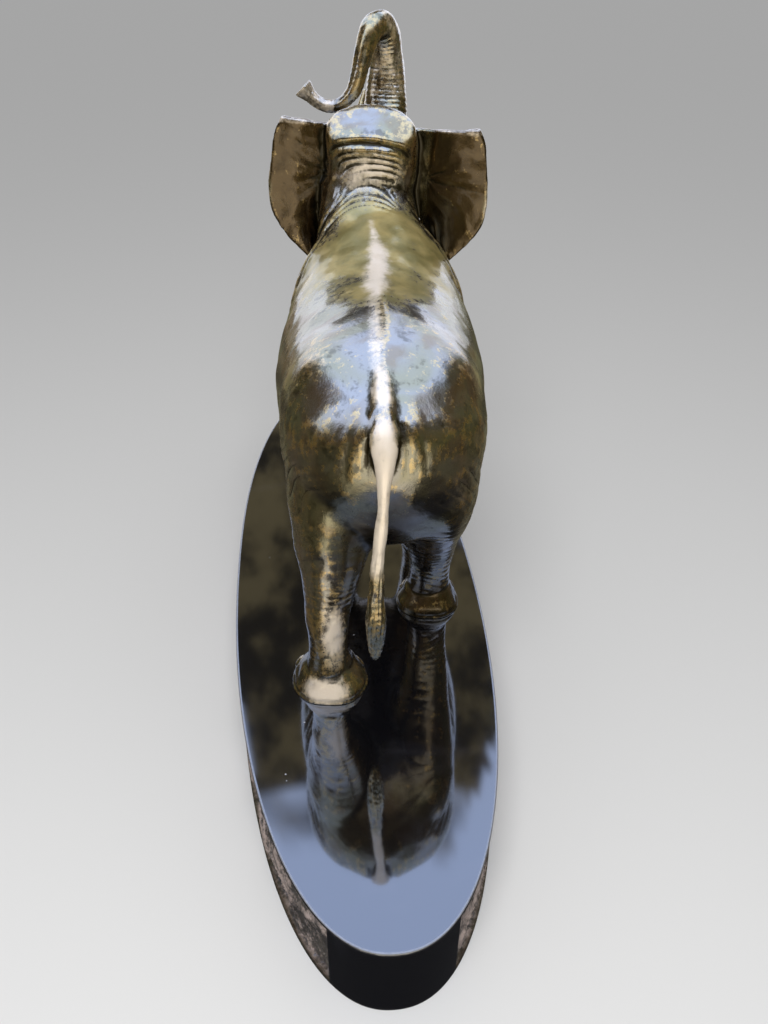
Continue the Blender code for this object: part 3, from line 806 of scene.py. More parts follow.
# %% Rows of wrinkles
# middle, reach, direction across the rows, pitch, depth
WRINKLED = {
    "haunch": ((50, -108, 150), (22, 34, 34), (0.3, 0.75, 1.0), 8.0, 0.95),
    "thigh": ((40, -100, 110), (26, 34, 26), (0.2, 0.5, 1.0), 6.5, 0.75),
    "flank": ((62, -20, 150), (16, 44, 38), (0, 1.0, 0.25), 13.0, 0.75),
    "belly": ((30, 0, 82), (34, 60, 16), (0, 1.0, 0.0), 9.0, 0.6),
    "shoulder": ((54, 60, 170), (20, 26, 40), (0, 0.9, 0.6), 9.5, 0.8),
    "neck": ((36, 84, 226), (20, 24, 26), (0, 1.0, 0.35), 8.0, 0.85),
    "upper arm": ((46, 76, 122), (22, 30, 24), (0, 0.35, 1.0), 7.0, 0.7),
    "back": ((24, -20, 226), (26, 70, 12), (0, 1.0, 0.0), 15.0, 0.15),
    "rump": ((24, -134, 176), (22, 14, 30), (0.9, 0.0, 1.0), 6.0, 0.25),
}
LEGS_BELOW = 112.0
PAD_TOP = 14.0
LEG_WRINKLE_PITCH = 4.6
LEG_WRINKLE_DEPTH = 0.4
KNEE_UP, KNEE_REACH = 74.0, 22.0
ANKLE_UP, ANKLE_REACH = 32.0, 15.0


def wrinkled_regions(places):
    """Wrinkles times near() in each region, other ones on each side, and level rings times
    e^-((up - joint) / reach)^2 round every knee and ankle."""
    paired = both_sides(places)
    push = np.zeros(len(places))
    for i, (middle, reach, direction, pitch, depth) in enumerate(WRINKLED.values()):
        held = near(paired, middle, reach)
        for side, seed in ((-1, 20 + 2 * i), (1, 60 + 2 * i)):
            chosen = np.flatnonzero((held > 0.01) & ((places[:, 0] < 0) == (side < 0)))
            push[chosen] += held[chosen] * wrinkles(paired[chosen], direction, pitch, depth, seed)
    legs = np.flatnonzero(places[:, 2] < LEGS_BELOW)
    up = places[legs, 2]
    bends = bell(up, KNEE_UP, KNEE_REACH)
    bends += 1.2 * bell(up, ANKLE_UP, ANKLE_REACH)
    bends *= ramp(up, PAD_TOP, PAD_TOP + 8)
    push[legs] += bends * wrinkles(places[legs], (0, 0.12, 1), LEG_WRINKLE_PITCH, LEG_WRINKLE_DEPTH, 70)
    return push


print(len(WRINKLED), "wrinkled regions on either side")

# %% [markdown]
# ## Feet
#
# Each foot ends in a pad with five broad nails round its front. A nail is a raised shield with a groove
# round it, and above the nails the skin makes a roll where the leg meets the pad.

# %% Nails and soles
NAIL_ANGLES_DEG = (-58, -29, 0, 29, 58)
NAIL_UP = 4.4
NAIL_SIZE = 4.9
NAIL_RELIEF = 0.9
FOOT_REACH, FOOT_TOP = 34.0, 30.0
# height and half-width of the groove over the pad and of the one just above the sole, then their depths
SEAM_UP, SEAM_WIDTH, SEAM_DEPTH = 17.5, 1.8, 0.35
SOLE_UP, SOLE_WIDTH, SOLE_DEPTH = 2.2, 0.9, 0.5
LUMP_SIZE, LUMP_RELIEF = 13.0, 2.0


def on_feet(places):
    """Nails: relief * e^-r^6 less a groove e^-((r - 1.12) / 0.16)^2 round each, with r in nail sizes;
    grooves over the pad and the sole, depth * e^-((up - height) / width)^2; lumps of noise in the pad."""
    push = np.zeros(len(places))
    for stations, _, (x, y), stout, _ in LEGS.values():
        ups, half_widths = np.array(stations, float)[::-1, 2:4].T
        radius = stout * np.interp(NAIL_UP, ups, half_widths)
        beside = np.hypot(places[:, 0] - x, places[:, 1] - y)
        foot = np.flatnonzero((beside < FOOT_REACH) & (places[:, 2] <= FOOT_TOP))
        here = places[foot]
        for nail in np.radians(NAIL_ANGLES_DEG):
            middle = (x + radius * math.sin(nail), y + radius * math.cos(nail), NAIL_UP)
            r = np.linalg.norm(here - middle, axis=1) / NAIL_SIZE
            push[foot] += NAIL_RELIEF * (np.exp(-(r**6)) - 0.5 * bell(r, 1.12, 0.16))
        up, turn = here[:, 2], np.arctan2(here[:, 0] - x, here[:, 1] - y)
        seam = SEAM_UP + 1.5 * np.sin(3 * turn) + noise(here, 9.0, 4)
        push[foot] -= SEAM_DEPTH * bell(up, seam, SEAM_WIDTH)
        push[foot] -= SOLE_DEPTH * bell(up, SOLE_UP, SOLE_WIDTH)
        push[foot] += LUMP_RELIEF * noise(here, LUMP_SIZE, 5) * ramp(up, 20.0, 14)
    return push


print(len(NAIL_ANGLES_DEG) * len(LEGS), "nails")

# %% [markdown]
# ## Face and ears
#
# The eye is a small ball between two lids, under a heavy brow, with wrinkles running back from it. The
# mouth is a long crease from under the tusk towards the cheek. Veins fan out over both faces of the ear from
# its root, and the rim is rolled.

# %% Eyes, mouth and veins
EYE = np.array((29.5, 139.0, 264.0))
EYE_SIZE = 3.6
FACE_FOLDS = (
    (1.1, 1.0, ((29, 133, 262), (30, 138, 266.5), (28, 144, 265))),
    (1.1, 0.8, ((29, 134, 261), (30, 139, 260.5), (28, 144, 263))),
    (1.4, 0.9, ((30, 131, 257), (30, 139, 256), (26, 147, 258))),
    (1.3, 0.8, ((31, 129, 254), (30, 138, 251.5), (26, 147, 254))),
    (1.5, 0.9, ((30, 128, 270), (30, 137, 272), (26, 145, 270))),
    (2.0, 1.8, ((12, 158, 246), (18, 146, 241), (24, 132, 238), (27, 122, 240))),
    (1.6, 1.0, ((25, 128, 232), (27, 120, 238), (28, 114, 248))),
    (1.8, 1.0, ((16, 150, 292), (22, 140, 286), (27, 130, 282))),
    (1.8, 1.0, ((15, 156, 286), (21, 147, 280), (26, 138, 278))),
    (2.0, 1.3, ((-16, 80, 284), (8, 79, 286), (22, 80, 282), (33, 84, 274))),
)
EYEBALL_RELIEF, LID_DEPTH = 1.7, 0.9
EAR_MIDDLE = np.array((33.0, 104.0, 262.0))
EAR_ROOT, EAR_REACH = 32.0, 42.0
EAR_VEINS = 7


def at_ears(straight):
    """Places as seen from between the ears, and how far out each is: 0 at an ear's root, 1 at its edge."""
    at_ear = both_sides(straight - (EAR_ASIDE, 0.0, 0.0))
    return at_ear, (at_ear[:, 0] - EAR_ROOT) / EAR_REACH


def on_head_skin(places, surface):
    """Places are those of the straight head. Eyeball: relief * e^-r^4 less e^-((r - 1.3) / 0.3)^2 round it.
    Ear veins: two sines of the angle about the ear's root, 7 and 16 times round, and puckers across them."""
    push = swellings(places, HEAD_SWELLINGS)
    r = np.linalg.norm((both_sides(places) - EYE) / (1.3, 1.35, 1.0), axis=1) / EYE_SIZE
    push += EYEBALL_RELIEF * np.exp(-(r**4)) - LID_DEPTH * bell(r, 1.3, 0.3)
    turn = np.array(HEAD_MATRIX)
    for width, depth, path in FACE_FOLDS:
        for side in (-1, 1):
            straight = np.array([(side * x, y, z) for x, y, z in path])
            push += crease(turned(places, turn), surface, turned(straight, turn), width, depth)
    at_ear, out = at_ears(places)
    flap = ramp(out, 0, 0.12) * ramp(out, 1.0, 0.85) * (np.abs(at_ear[:, 1] - 98) < 18)
    off = at_ear - EAR_MIDDLE
    angle = np.arctan2(off[:, 2], off[:, 0]) + 0.25 * noise(places, 16.0, 6)
    veins = 0.22 * np.sin(EAR_VEINS * angle) + 0.14 * np.sin(2.3 * EAR_VEINS * angle + 1.0)
    puckers = wrinkles(places, (0.5, 0, 1), 6.0, 0.15, 12, wander=1.6, sharpness=2.0)
    return push + flap * (veins + puckers + 0.4 * noise(places, 13.0, 8))


print(2 * len(FACE_FOLDS), "folds on the face")

# %% Marks and the spine
MARK_SIZES = (15.0, 7.5, 3.5)
MARK_DEPTHS = (0.50, 0.24, 0.08)
# the back was smoothed once more than the rest
BACK_SMOOTHED = 0.75


def modelling_marks(places):
    """Dents of the modeller's thumb and tools in three sizes, which break up reflections."""
    on_back = near(places, (0, -50, 228), (44, 80, 26))
    marks = np.zeros(len(places))
    for i, (size, depth) in enumerate(zip(MARK_SIZES, MARK_DEPTHS)):
        marks += depth * noise(places, size, 15 + i)
    return marks * (1.0 - BACK_SMOOTHED * on_back)


# places along the spine, and its half-width, middle and brightness there
SPINE_FORWARD = (-140, -112, -60, -30, 0, 22, 45, 70)
SPINE_HALF_WIDTH = (7.0, 5.5, 7.0, 8.5, 9.5, 8.0, 4.5, 3.0)
SPINE_MIDDLE = (-1.2, -4.0, -4.0, -3.0, -1.0, -1.0, -3.0, -5.0)
# the stripe is rubbed metal and painted highlight at once, so its brightness changes along the back
SPINE_BRIGHTNESS = (1.0, 0.75, 0.6, 0.85, 1.1, 0.95, 0.7, 0.5)
SPINE_RELIEF = 0.7


def spine_stripe(places):
    """b * e^-(x / w)^2 along the back, where the middle of x, the half-width w and the brightness b follow
    tables from the tail to the withers."""
    forward = places[:, 1]
    wide = np.interp(forward, SPINE_FORWARD, SPINE_HALF_WIDTH)
    middle = np.interp(forward, SPINE_FORWARD, SPINE_MIDDLE) - 1.2 * noise(places, 12.0, 14)
    bright = np.interp(forward, SPINE_FORWARD, SPINE_BRIGHTNESS)
    on_top = ramp(places[:, 2], 200, 210) * ramp(forward, 76, 56)
    return bright * on_top * bell(places[:, 0], middle, wide)


print("spine is worn", 2 * max(SPINE_HALF_WIDTH), "mm wide at most")


# %% Worn metal, painted highlight, painted reflection and painted shade
def worn_and_highlit_places(places, straight):
    """Bright metal, part rubbed wear and part painted highlight, as the largest of several maps: spine,
    hips, left hind shin and foot, tail, nape, rims and tops of the ears, crown and back of the trunk. The
    patches on the left hind shin and foot and on the back of the trunk are painted highlight alone. Straight
    are the places with the head straight ahead."""
    at_ear, _ = at_ears(straight)
    tail = ramp(places[:, 1], -146, -150) * (np.abs(places[:, 0] + 4) < 12)
    tail = tail * (0.2 + 0.8 * ramp(places[:, 2], 106, 126))
    nape = 0.8 * near(places, (-6, 84, 270), (36, 18, 22)) * ramp(straight[:, 2], 285, 282)
    # painted highlight on the left hind shin, and below it on the top of the foot
    shin = near(places, (-30, -140, 50), (12, 18, 32))
    crown = 0.2 * bell(straight[:, 1], 84, 3) * ramp(straight[:, 2], 280, 284)
    maps = (
        spine_stripe(places),
        0.5 * near(both_sides(places), (34, -98, 212), (14, 16, 10)),
        1.3 * np.maximum(shin, near(places, (-38, -144, 9), (24, 16, 12))),
        np.maximum(tail, near(places, (-1.2, -146, 196), (10, 12, 14))),
        nape,
        ear_rim(straight),
        0.6 * ramp(straight[:, 2], 291, 294) * (at_ear[:, 0] > 36),
        crown,
        # painted highlight along the back of the trunk
        0.5 * ramp(straight[:, 2], 290, 304) * (straight[:, 1] > 150),
    )
    return np.max(maps, axis=0) * (1.0 + 0.25 * noise(places, 7.0, 19))


def ear_rim(straight):
    """Along the free edge of each ear."""
    at_ear, _ = at_ears(straight)
    return 0.6 * ramp(at_ear[:, 0], 73, 75) * (straight[:, 2] > 205)


def brushed_and_reflected_places(places):
    """Dull gold for brushed metal and painted reflection of the surroundings: the withers and, less, the top
    of each haunch.
    """
    withers = near(places, (0, 34, 236), (95, 66, 90))
    withers = np.maximum(withers, 0.7 * near(places, (4, -20, 230), (66, 64, 60)))
    withers = withers * (0.95 + 0.3 * noise(places, 16.0, 18))
    return np.maximum(withers, 0.6 * near(both_sides(places), (48, -84, 196), (18, 34, 18)))


def painted_shade_places(places, outward, straight):
    """Painted shade: the flat of each ear, surfaces facing down, between the hind legs, the right hind foot
    where the body's shadow falls, and the trunk's curl."""
    at_ear, out = at_ears(straight)
    on_plate = (np.abs(at_ear[:, 1] - ear_plate(out)) < 6) * (straight[:, 2] > 203)
    maps = (
        0.9 * ramp(out, 0, 0.1) * on_plate * (1 - ear_rim(straight)),
        ramp(-outward[:, 2], 0.1, 1.1) * (places[:, 2] < 120),
        near(places, (0, -136, 116), (34, 22, 50)),
        near(places, (34, -50, 8), (34, 34, 26)),
        0.55 * ramp(straight[:, 0], -18, -26) * (straight[:, 1] > 128) * (straight[:, 2] > 288),
    )
    return np.max(maps, axis=0)


def keep(mesh, name, values):
    """One number a point, kept on the mesh for its material to read."""
    mesh.attributes.new(name, "FLOAT", "POINT").data.foreach_set("value", values.astype(np.float32))


print("three maps of wear ready")


# %% Working the skin
def worked(mesh):
    """Adds all relief along the outward directions, and keeps the maps of wear, painted highlight, painted
    reflection and painted shade on the points.
    """
    places, outward = points_of(mesh)
    shape = bmesh.new()
    shape.from_mesh(mesh)
    surface = BVHTree.FromBMesh(shape)
    shape.free()
    straight = in_head(places)
    push = swellings(places, BODY_SWELLINGS) + body_folds(places, surface) + wrinkled_regions(places)
    push += on_feet(places) + on_tail(places) + modelling_marks(places)
    push += on_head_skin(straight, surface) + on_trunk(straight)
    push += SPINE_RELIEF * spine_stripe(places)
    mesh.vertices.foreach_set("co", ((places + outward * push[:, None]) * MM).ravel())
    mesh.update()
    keep(mesh, "worn_and_highlit", worn_and_highlit_places(places, straight))
    keep(mesh, "brushed_and_reflected", brushed_and_reflected_places(places))
    keep(mesh, "painted_shade", painted_shade_places(places, outward, straight))


worked(skin)
print("relief worked into", len(skin.vertices), "points")

# %% [markdown]
# ## What wear knows
#
# Hands rub the high places of a bronze bright, and patina stays dark in the hollows. How high a point
# stands is its height over the same skin smoothed: each pass moves every point to the middle of its
# neighbours, and what is left along the outward direction is positive on ridges and negative in folds. Two
# scales are kept, as point attributes that the bronze reads.

# %% Height over the smoothed skin
HEIGHT_PASSES = {"fine_height": 6, "broad_height": 60}


def neighbour_pairs(mesh):
    """The two ends of every edge, as two arrays."""
    pairs = np.empty(2 * len(mesh.edges), np.int32)
    mesh.edges.foreach_get("vertices", pairs)
    return pairs.reshape(-1, 2).T


def smoothed(values, pairs, passes):
    """Each pass puts every value at the mean of its neighbours' values."""
    a, b = pairs
    count = len(values)
    shared = np.bincount(a, minlength=count) + np.bincount(b, minlength=count)
    for _ in range(passes):
        total = [
            np.bincount(a, column[b], minlength=count) + np.bincount(b, column[a], minlength=count)
            for column in values.T
        ]
        values = (np.stack(total) / shared).T
    return values


def note_heights(mesh):
    """fine_height and broad_height, in millimetres over the skin after that many passes."""
    places, outward = points_of(mesh)
    pairs = neighbour_pairs(mesh)
    for name, passes in HEIGHT_PASSES.items():
        height = ((places - smoothed(places, pairs, passes)) * outward).sum(axis=1)
        keep(mesh, name, height)
        print(name, np.percentile(height, (5, 50, 95)).round(3))


note_heights(skin)

# %% [markdown]
# ## Thinning, flat soles and place
#
# Fewer triangles are needed on the smooth flanks than in the folds, and collapsing edges takes them from
# where the skin is flat. The feet are then cut level and closed, so they sit flat on the marble, and the
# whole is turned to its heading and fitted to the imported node.

# %% Thinned and standing
ELEPHANT_TRIANGLES = 185000
HEADING = math.radians(-4.0)


def flat_soles(mesh):
    """Cuts the feet off level at the ground and closes them, with flat shading on the soles alone."""
    shape = bmesh.new()
    shape.from_mesh(mesh)
    everything = shape.verts[:] + shape.edges[:] + shape.faces[:]
    ground = {"plane_co": (0, 0, 0), "plane_no": (0, 0, 1), "clear_inner": True}
    bmesh.ops.bisect_plane(shape, geom=everything, **ground)
    bmesh.ops.edgenet_fill(shape, edges=[edge for edge in shape.edges if edge.is_boundary])
    bmesh.ops.recalc_face_normals(shape, faces=shape.faces)
    shape.to_mesh(mesh)
    shape.free()
    normals, middles = np.empty((2, 3 * len(mesh.polygons)))
    mesh.polygons.foreach_get("normal", normals)
    mesh.polygons.foreach_get("center", middles)
    sole = (normals[2::3] < -0.999) & (middles[2::3] < 0.5 * MM)
    mesh.polygons.foreach_set("use_smooth", ~sole)


def placed_in_box(mesh, low, high):
    """Turned to the heading, sized by the box's height, centred in the box and stood on its floor."""
    places, _ = points_of(mesh)
    c, s = math.cos(HEADING), math.sin(HEADING)
    places = MM * places @ np.array(((c, -s, 0), (s, c, 0), (0, 0, 1))).T
    size = places.max(axis=0) - places.min(axis=0)
    fit = (high.z - low.z) / size[2]
    print("sides against the node:", (size / np.array(high - low)).round(4))
    places *= fit
    middle = 0.5 * (places.max(axis=0) + places.min(axis=0))
    shift = 0.5 * (np.array(low) + np.array(high)) - middle
    shift[2] = low.z - places[:, 2].min()
    mesh.vertices.foreach_set("co", (places + shift).ravel())
    mesh.update()
    return fit


triangles = 2 * len(skin.polygons)
skin = finished(skin, DECIMATE={"ratio": ELEPHANT_TRIANGLES / triangles})
print("kept on points:", [a.name for a in skin.attributes])
flat_soles(skin)
fit = placed_in_box(skin, *bronze_box)
print(f"elephant: {len(skin.polygons)} faces, size against the packed node {fit:.4f}")

# %% [markdown]
# ## Patinated bronze
#
# The casting is bronze, brushed with acids to an olive and brown patina and then waxed. Where it is handled
# the patina wears through to golden metal. It is a metal all over, so the colour tints the reflection; the
# wax adds a thin clear coat. Folds hold the darkest patina and are duller. Light and shade are also painted
# into the colour: paler metal as painted highlight and painted reflection, darker patina as painted shade.

# %% Nodes and colours
def linear(code):
    """sRGB hex to linear light: ((c + 0.055) / 1.055)^2.4 above 0.04045, c / 12.92 below."""
    part = [int(code[i : i + 2], 16) / 255 for i in (1, 3, 5)]
    return (*[((c + 0.055) / 1.055) ** 2.4 if c > 0.04045 else c / 12.92 for c in part], 1.0)


def add(tree, kind, feeds=(), output=0, **settings):
    """One node with its settings, and for each socket a value or the output that feeds it. Gives the named
    or numbered output."""
    made = tree.nodes.new("ShaderNode" + kind)
    for key, value in settings.items():
        setattr(made, key, value)
    for key, value in dict(feeds).items():
        if isinstance(value, bpy.types.NodeSocket):
            tree.links.new(value, made.inputs[key])
        else:
            made.inputs[key].default_value = value
    return made.outputs[output] if made.outputs else None


def new_material(name):
    """An empty material, and add() for its tree."""
    made = bpy.data.materials.new(name)
    made.use_nodes = True
    made.node_tree.nodes.clear()
    return made, partial(add, made.node_tree)


# settings that recur: colours in a Mix and its third output, eased ramps, and a * b + c
RGB, MIXED = {"data_type": "RGBA"}, 2
SOFT = {"interpolation_type": "SMOOTHSTEP"}
PLUS = {"operation": "MULTIPLY_ADD"}
print("gold of worn bronze, linear:", [round(c, 3) for c in linear("#cdb27c")])

# %% [markdown]
# Noise at four sizes drives the patina, all given in real millimetres: patches two thumbs wide where acid
# was brushed on, clouds a thumb wide inside them, mottling, and specks. Streaks are the same noise drawn out
# aslant, the way a brush ran over the haunches. Each later coat is laid over the colours before it: painted
# shade on the ears, undersides and the right hind foot, gold where the skin stands high, dull gold for
# brushed metal and painted reflection, bright metal where hands touch and as painted highlight, and dark
# patina again in the folds.

# %% Bronze
# dark in folds, painted shade on the ears and undersides, brown, olive and grey elsewhere; then dull gold
# for brushed metal and painted reflection, rubbed metal, and bare metal that is also painted highlight
DARK_PATINA = linear("#3a3320")
# colour of the painted shade on the ears, undersides, groin, right hind foot and the trunk's curl
PAINTED_SHADE_COLOUR = linear("#5b4c35")
BROWN_PATINA = linear("#857257")
OLIVE_PATINA = linear("#918b70")
GREY_PATINA = linear("#96928a")
# dull gold and olive of the brushed places, which stand in part for a painted reflection
BRUSHED_AND_REFLECTED_GOLD = linear("#bba86c")
BRUSHED_AND_REFLECTED_OLIVE = linear("#8f8450")
RUBBED_BRONZE = linear("#cdb27c")
# bare metal, which is also the colour of the painted highlight
BRIGHT_BRONZE = linear("#eadbc6")
PATCH_SIZE, CLOUD_SIZE, MOTTLE_SIZE, SPECK_SIZE = 46.0 * MM, 19.0 * MM, 6.0 * MM, 1.6 * MM
STREAK_SIZE = 3.4 * MM
GRAIN_DEPTH = 0.5 * MM


def bronze_noises(node):
    """Patches, clouds, mottle, specks and streaks, all from 0 to 1."""
    place = node("TexCoord", output="Object")
    aslant = node("Mapping", {"Vector": place, "Rotation": (0.5, 0.7, 0.0), "Scale": (1.0, 1.0, 0.22)})
    kinds = (
        (place, PATCH_SIZE, {"Detail": 4.0, "Distortion": 0.6}),
        (place, CLOUD_SIZE, {"Detail": 3.0, "Distortion": 0.4}),
        (place, MOTTLE_SIZE, {"Detail": 5.0, "Roughness": 0.65}),
        (place, SPECK_SIZE, {"Detail": 3.0, "Roughness": 0.6}),
        (aslant, STREAK_SIZE, {"Detail": 3.0, "Roughness": 0.6}),
    )
    return [node("TexNoise", {"Vector": at, "Scale": 1 / size, **more}) for at, size, more in kinds]


def patinated_bronze():
    """Each coat comes in between two values of what it follows and is laid over the coats before it. What
    they follow are the noises, the heights over the smoothed skin and the three maps of wear."""
    made, node = new_material("patinated_bronze")
    patches, clouds, mottle, specks, streaks = bronze_noises(node)
    names = ("fine_height", "broad_height", "worn_and_highlit", "brushed_and_reflected", "painted_shade")
    fine, broad, worn_and_highlit, brushed_and_reflected, painted_shade = (
        node("Attribute", output="Fac", attribute_name=name) for name in names
    )
    raised = node("Math", {0: broad, 1: 0.10, 2: fine}, **PLUS)
    raised = node("Math", {0: raised, 1: 0.17}, operation="MINIMUM")
    uneven = node("Math", {0: mottle, 1: 0.45, 2: 0.0}, **PLUS)
    uneven = node("Math", {0: specks, 1: 0.30, 2: uneven}, **PLUS)
    flecked = node("Math", {0: streaks, 1: 0.45, 2: uneven}, **PLUS)
    high = node("Math", {0: raised, 1: flecked}, operation="ADD")
    follows = {
        "dark": node("Math", {0: mottle, 1: clouds}, operation="ADD"),
        "painted_shade": node("Math", {0: mottle, 1: 0.8, 2: painted_shade}, **PLUS),
        "rubbed": node("Math", {0: painted_shade, 1: -0.11, 2: high}, **PLUS),
        "brushed_and_reflected": node("Math", {0: brushed_and_reflected, 1: flecked}, operation="ADD"),
        "bare_and_highlit": node("Math", {0: worn_and_highlit, 1: flecked}, operation="ADD"),
        "hollow": node("Math", {0: uneven, 1: 0.7, 2: raised}, **PLUS),
    }
    tone = node("MapRange", {"Value": clouds, "From Min": 0.36, "From Max": 0.68}, **SOFT)
    gold = node("Mix", {0: tone, 6: BRUSHED_AND_REFLECTED_GOLD, 7: BRUSHED_AND_REFLECTED_OLIVE}, MIXED, **RGB)
    # what it follows, where it begins, where it is full, how strong it is there, its colour
    coats = {
        "olive": (patches, 0.42, 0.58, 1.0, OLIVE_PATINA),
        "brown": (clouds, 0.50, 0.68, 0.6, BROWN_PATINA),
        "dark": (follows["dark"], 0.90, 0.76, 0.5, DARK_PATINA),
        "painted_shade": (follows["painted_shade"], 0.55, 1.30, 1.0, PAINTED_SHADE_COLOUR),
        "rubbed": (follows["rubbed"], 0.70, 0.84, 0.85, RUBBED_BRONZE),
        "brushed_and_reflected": (follows["brushed_and_reflected"], 0.90, 1.25, 1.0, gold),
        "bare_and_highlit": (follows["bare_and_highlit"], 0.90, 1.55, 1.0, BRIGHT_BRONZE),
        "hollow": (follows["hollow"], 0.20, 0.0, 1.0, DARK_PATINA),
    }
    colour, share = GREY_PATINA, {"mottle": mottle}
    for coat, (driver, begins, full, most, paint) in coats.items():
        span = {"Value": driver, "From Min": begins, "From Max": full, "To Max": most}
        share[coat] = node("MapRange", span, **SOFT)
        colour = node("Mix", {0: share[coat], 6: colour, 7: paint}, MIXED, **RGB)

    span = {"Value": patches, "From Min": 0.35, "From Max": 0.65, "To Min": 0.15, "To Max": 0.22}
    dull = node("MapRange", span)
    duller = {"hollow": 0.16, "bare_and_highlit": 0.16, "brushed_and_reflected": 0.11, "rubbed": 0.08, "mottle": 0.08, "painted_shade": 0.05}
    for coat, amount in duller.items():
        dull = node("Math", {0: share[coat], 1: amount, 2: dull}, **PLUS)
    grain = node("Math", {0: specks, 1: 0.3, 2: mottle}, **PLUS)
    grain = node("Math", {0: streaks, 1: 0.5, 2: grain}, **PLUS)
    bump = node("Bump", {"Height": grain, "Distance": GRAIN_DEPTH, "Strength": 0.35})
    # the dull gold of brushed metal and painted reflection, and the bare metal of painted highlight, scatter
    # light like a paler metal, so they mirror less
    metallic = node("MapRange", {"Value": share["brushed_and_reflected"], "To Min": 1.0, "To Max": 0.5})
    metallic = node("Mix", {0: share["bare_and_highlit"], 2: metallic, 3: 0.4})
    metal = {"Base Color": colour, "Metallic": metallic, "Roughness": dull, "Normal": bump}
    metal.update({"Coat Weight": 0.4, "Coat Roughness": 0.1})
    node("OutputMaterial", {"Surface": node("BsdfPrincipled", metal)})
    return made


# %% Bronze on the elephant
elephant = bpy.data.objects.new("bronze_elephant", skin)
bpy.context.scene.collection.objects.link(elephant)
skin.materials.clear()
skin.materials.append(patinated_bronze())
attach(elephant, "root")
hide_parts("elephant")
print("elephant rides on root with", len(skin.materials), "material")

# %% [markdown]
# ## Marble base
#
# The base is one oval slab of black marble. Its top and its two ends are ground and polished, and along
# both flanks the stone is left as it broke: big flakes with chisel marks across them, behind a thin straight
# margin. Its wall is a grid: one way round the oval, the other way up.

# %% Oval of the slab
BASE_SQUARENESS = 2.2
POLISHED_SHARE = 0.38
MARGIN = 3.0
EASING = 0.6
ROUGH_DEPTH = 5.5
ROUND_STEPS = 1350
base_size = [1000 * side for side in base_box[1] - base_box[0]]
half_wide, half_long, base_high = 0.5 * base_size[0], 0.5 * base_size[1], base_size[2]


def slab_outline(steps):
    """Evenly spaced points of |x / a|^2.2 + |y / b|^2.2 = 1, and the outward direction at each."""
    c, s = oval(40 * steps, BASE_SQUARENESS)
    x, y = half_wide * c, half_long * s
    run = np.concatenate([[0.0], np.cumsum(np.hypot(np.diff(x, append=x[0]), np.diff(y, append=y[0])))])
    at = np.linspace(0.0, run[-1], steps, endpoint=False)
    x, y = np.interp(at, run, np.append(x, x[0])), np.interp(at, run, np.append(y, y[0]))
    dx, dy = np.roll(x, -1) - np.roll(x, 1), np.roll(y, -1) - np.roll(y, 1)
    size = np.hypot(dx, dy)
    return at, x, y, dy / size, -dx / size


# %% Broken stone
def flakes(run, up, wide, tall, seed):
    """Chipped facets: jittered cells each hold a random tilted plane, and the deepest of the nine nearest
    planes, each raised by its distance squared, is what the chisel left."""
    u, v = run / wide, up / tall
    cell_u, cell_v = np.floor(u).astype(np.int64), np.floor(v).astype(np.int64)
    deepest = np.full(u.shape, -9.0)
    for du, dv in np.ndindex(3, 3):
        i, j = cell_u + du - 1, cell_v + dv - 1
        key = (i * 73856093) ^ (j * 19349663) ^ (seed * 83492791)
        random = [LATTICE[(key + 977 * k) & 4095] for k in range(5)]
        off_u, off_v = u - i - 0.5 - 0.4 * random[0], v - j - 0.5 - 0.4 * random[1]
        plane = 0.5 * random[2] + 0.45 * random[3] * off_u + 0.45 * random[4] * off_v
        deepest = np.maximum(deepest, plane - 1.1 * (off_u**2 + off_v**2))
    return deepest


def broken_depth(run, up):
    """A share of the full depth: 0.52 + 0.62 * broad flakes + 0.22 * small chips, and slanting chisel
    strokes low down, all held between 0.05 and 1."""
    places = np.stack([run, up, 0 * run], axis=-1).reshape(-1, 3)
    bend = noise(places, 13.0, 30).reshape(run.shape)
    broad = flakes(run + 4 * bend, up + 2 * bend, 24.0, 19.0, 3)
    chips = flakes(run, up + 3 * bend, 7.0, 6.0, 5)
    strokes = np.abs(np.sin(math.pi * (run + 0.9 * up + 5.0 * bend) / 5.5))
    patchy = noise(places, 26.0, 32).reshape(run.shape)
    low_down = ramp(up - 14 * patchy, 34, 22) * np.clip(0.8 + 0.9 * patchy, 0.1, 1.3)
    crumbs = noise(places, 2.2, 31).reshape(run.shape)
    depth = 0.52 + 0.62 * broad + 0.22 * chips + 0.28 * low_down * (strokes - 0.5) + 0.05 * crumbs
    return np.clip(depth, 0.05, 1.0)


print("rough margin begins", MARGIN, "mm from each arris")

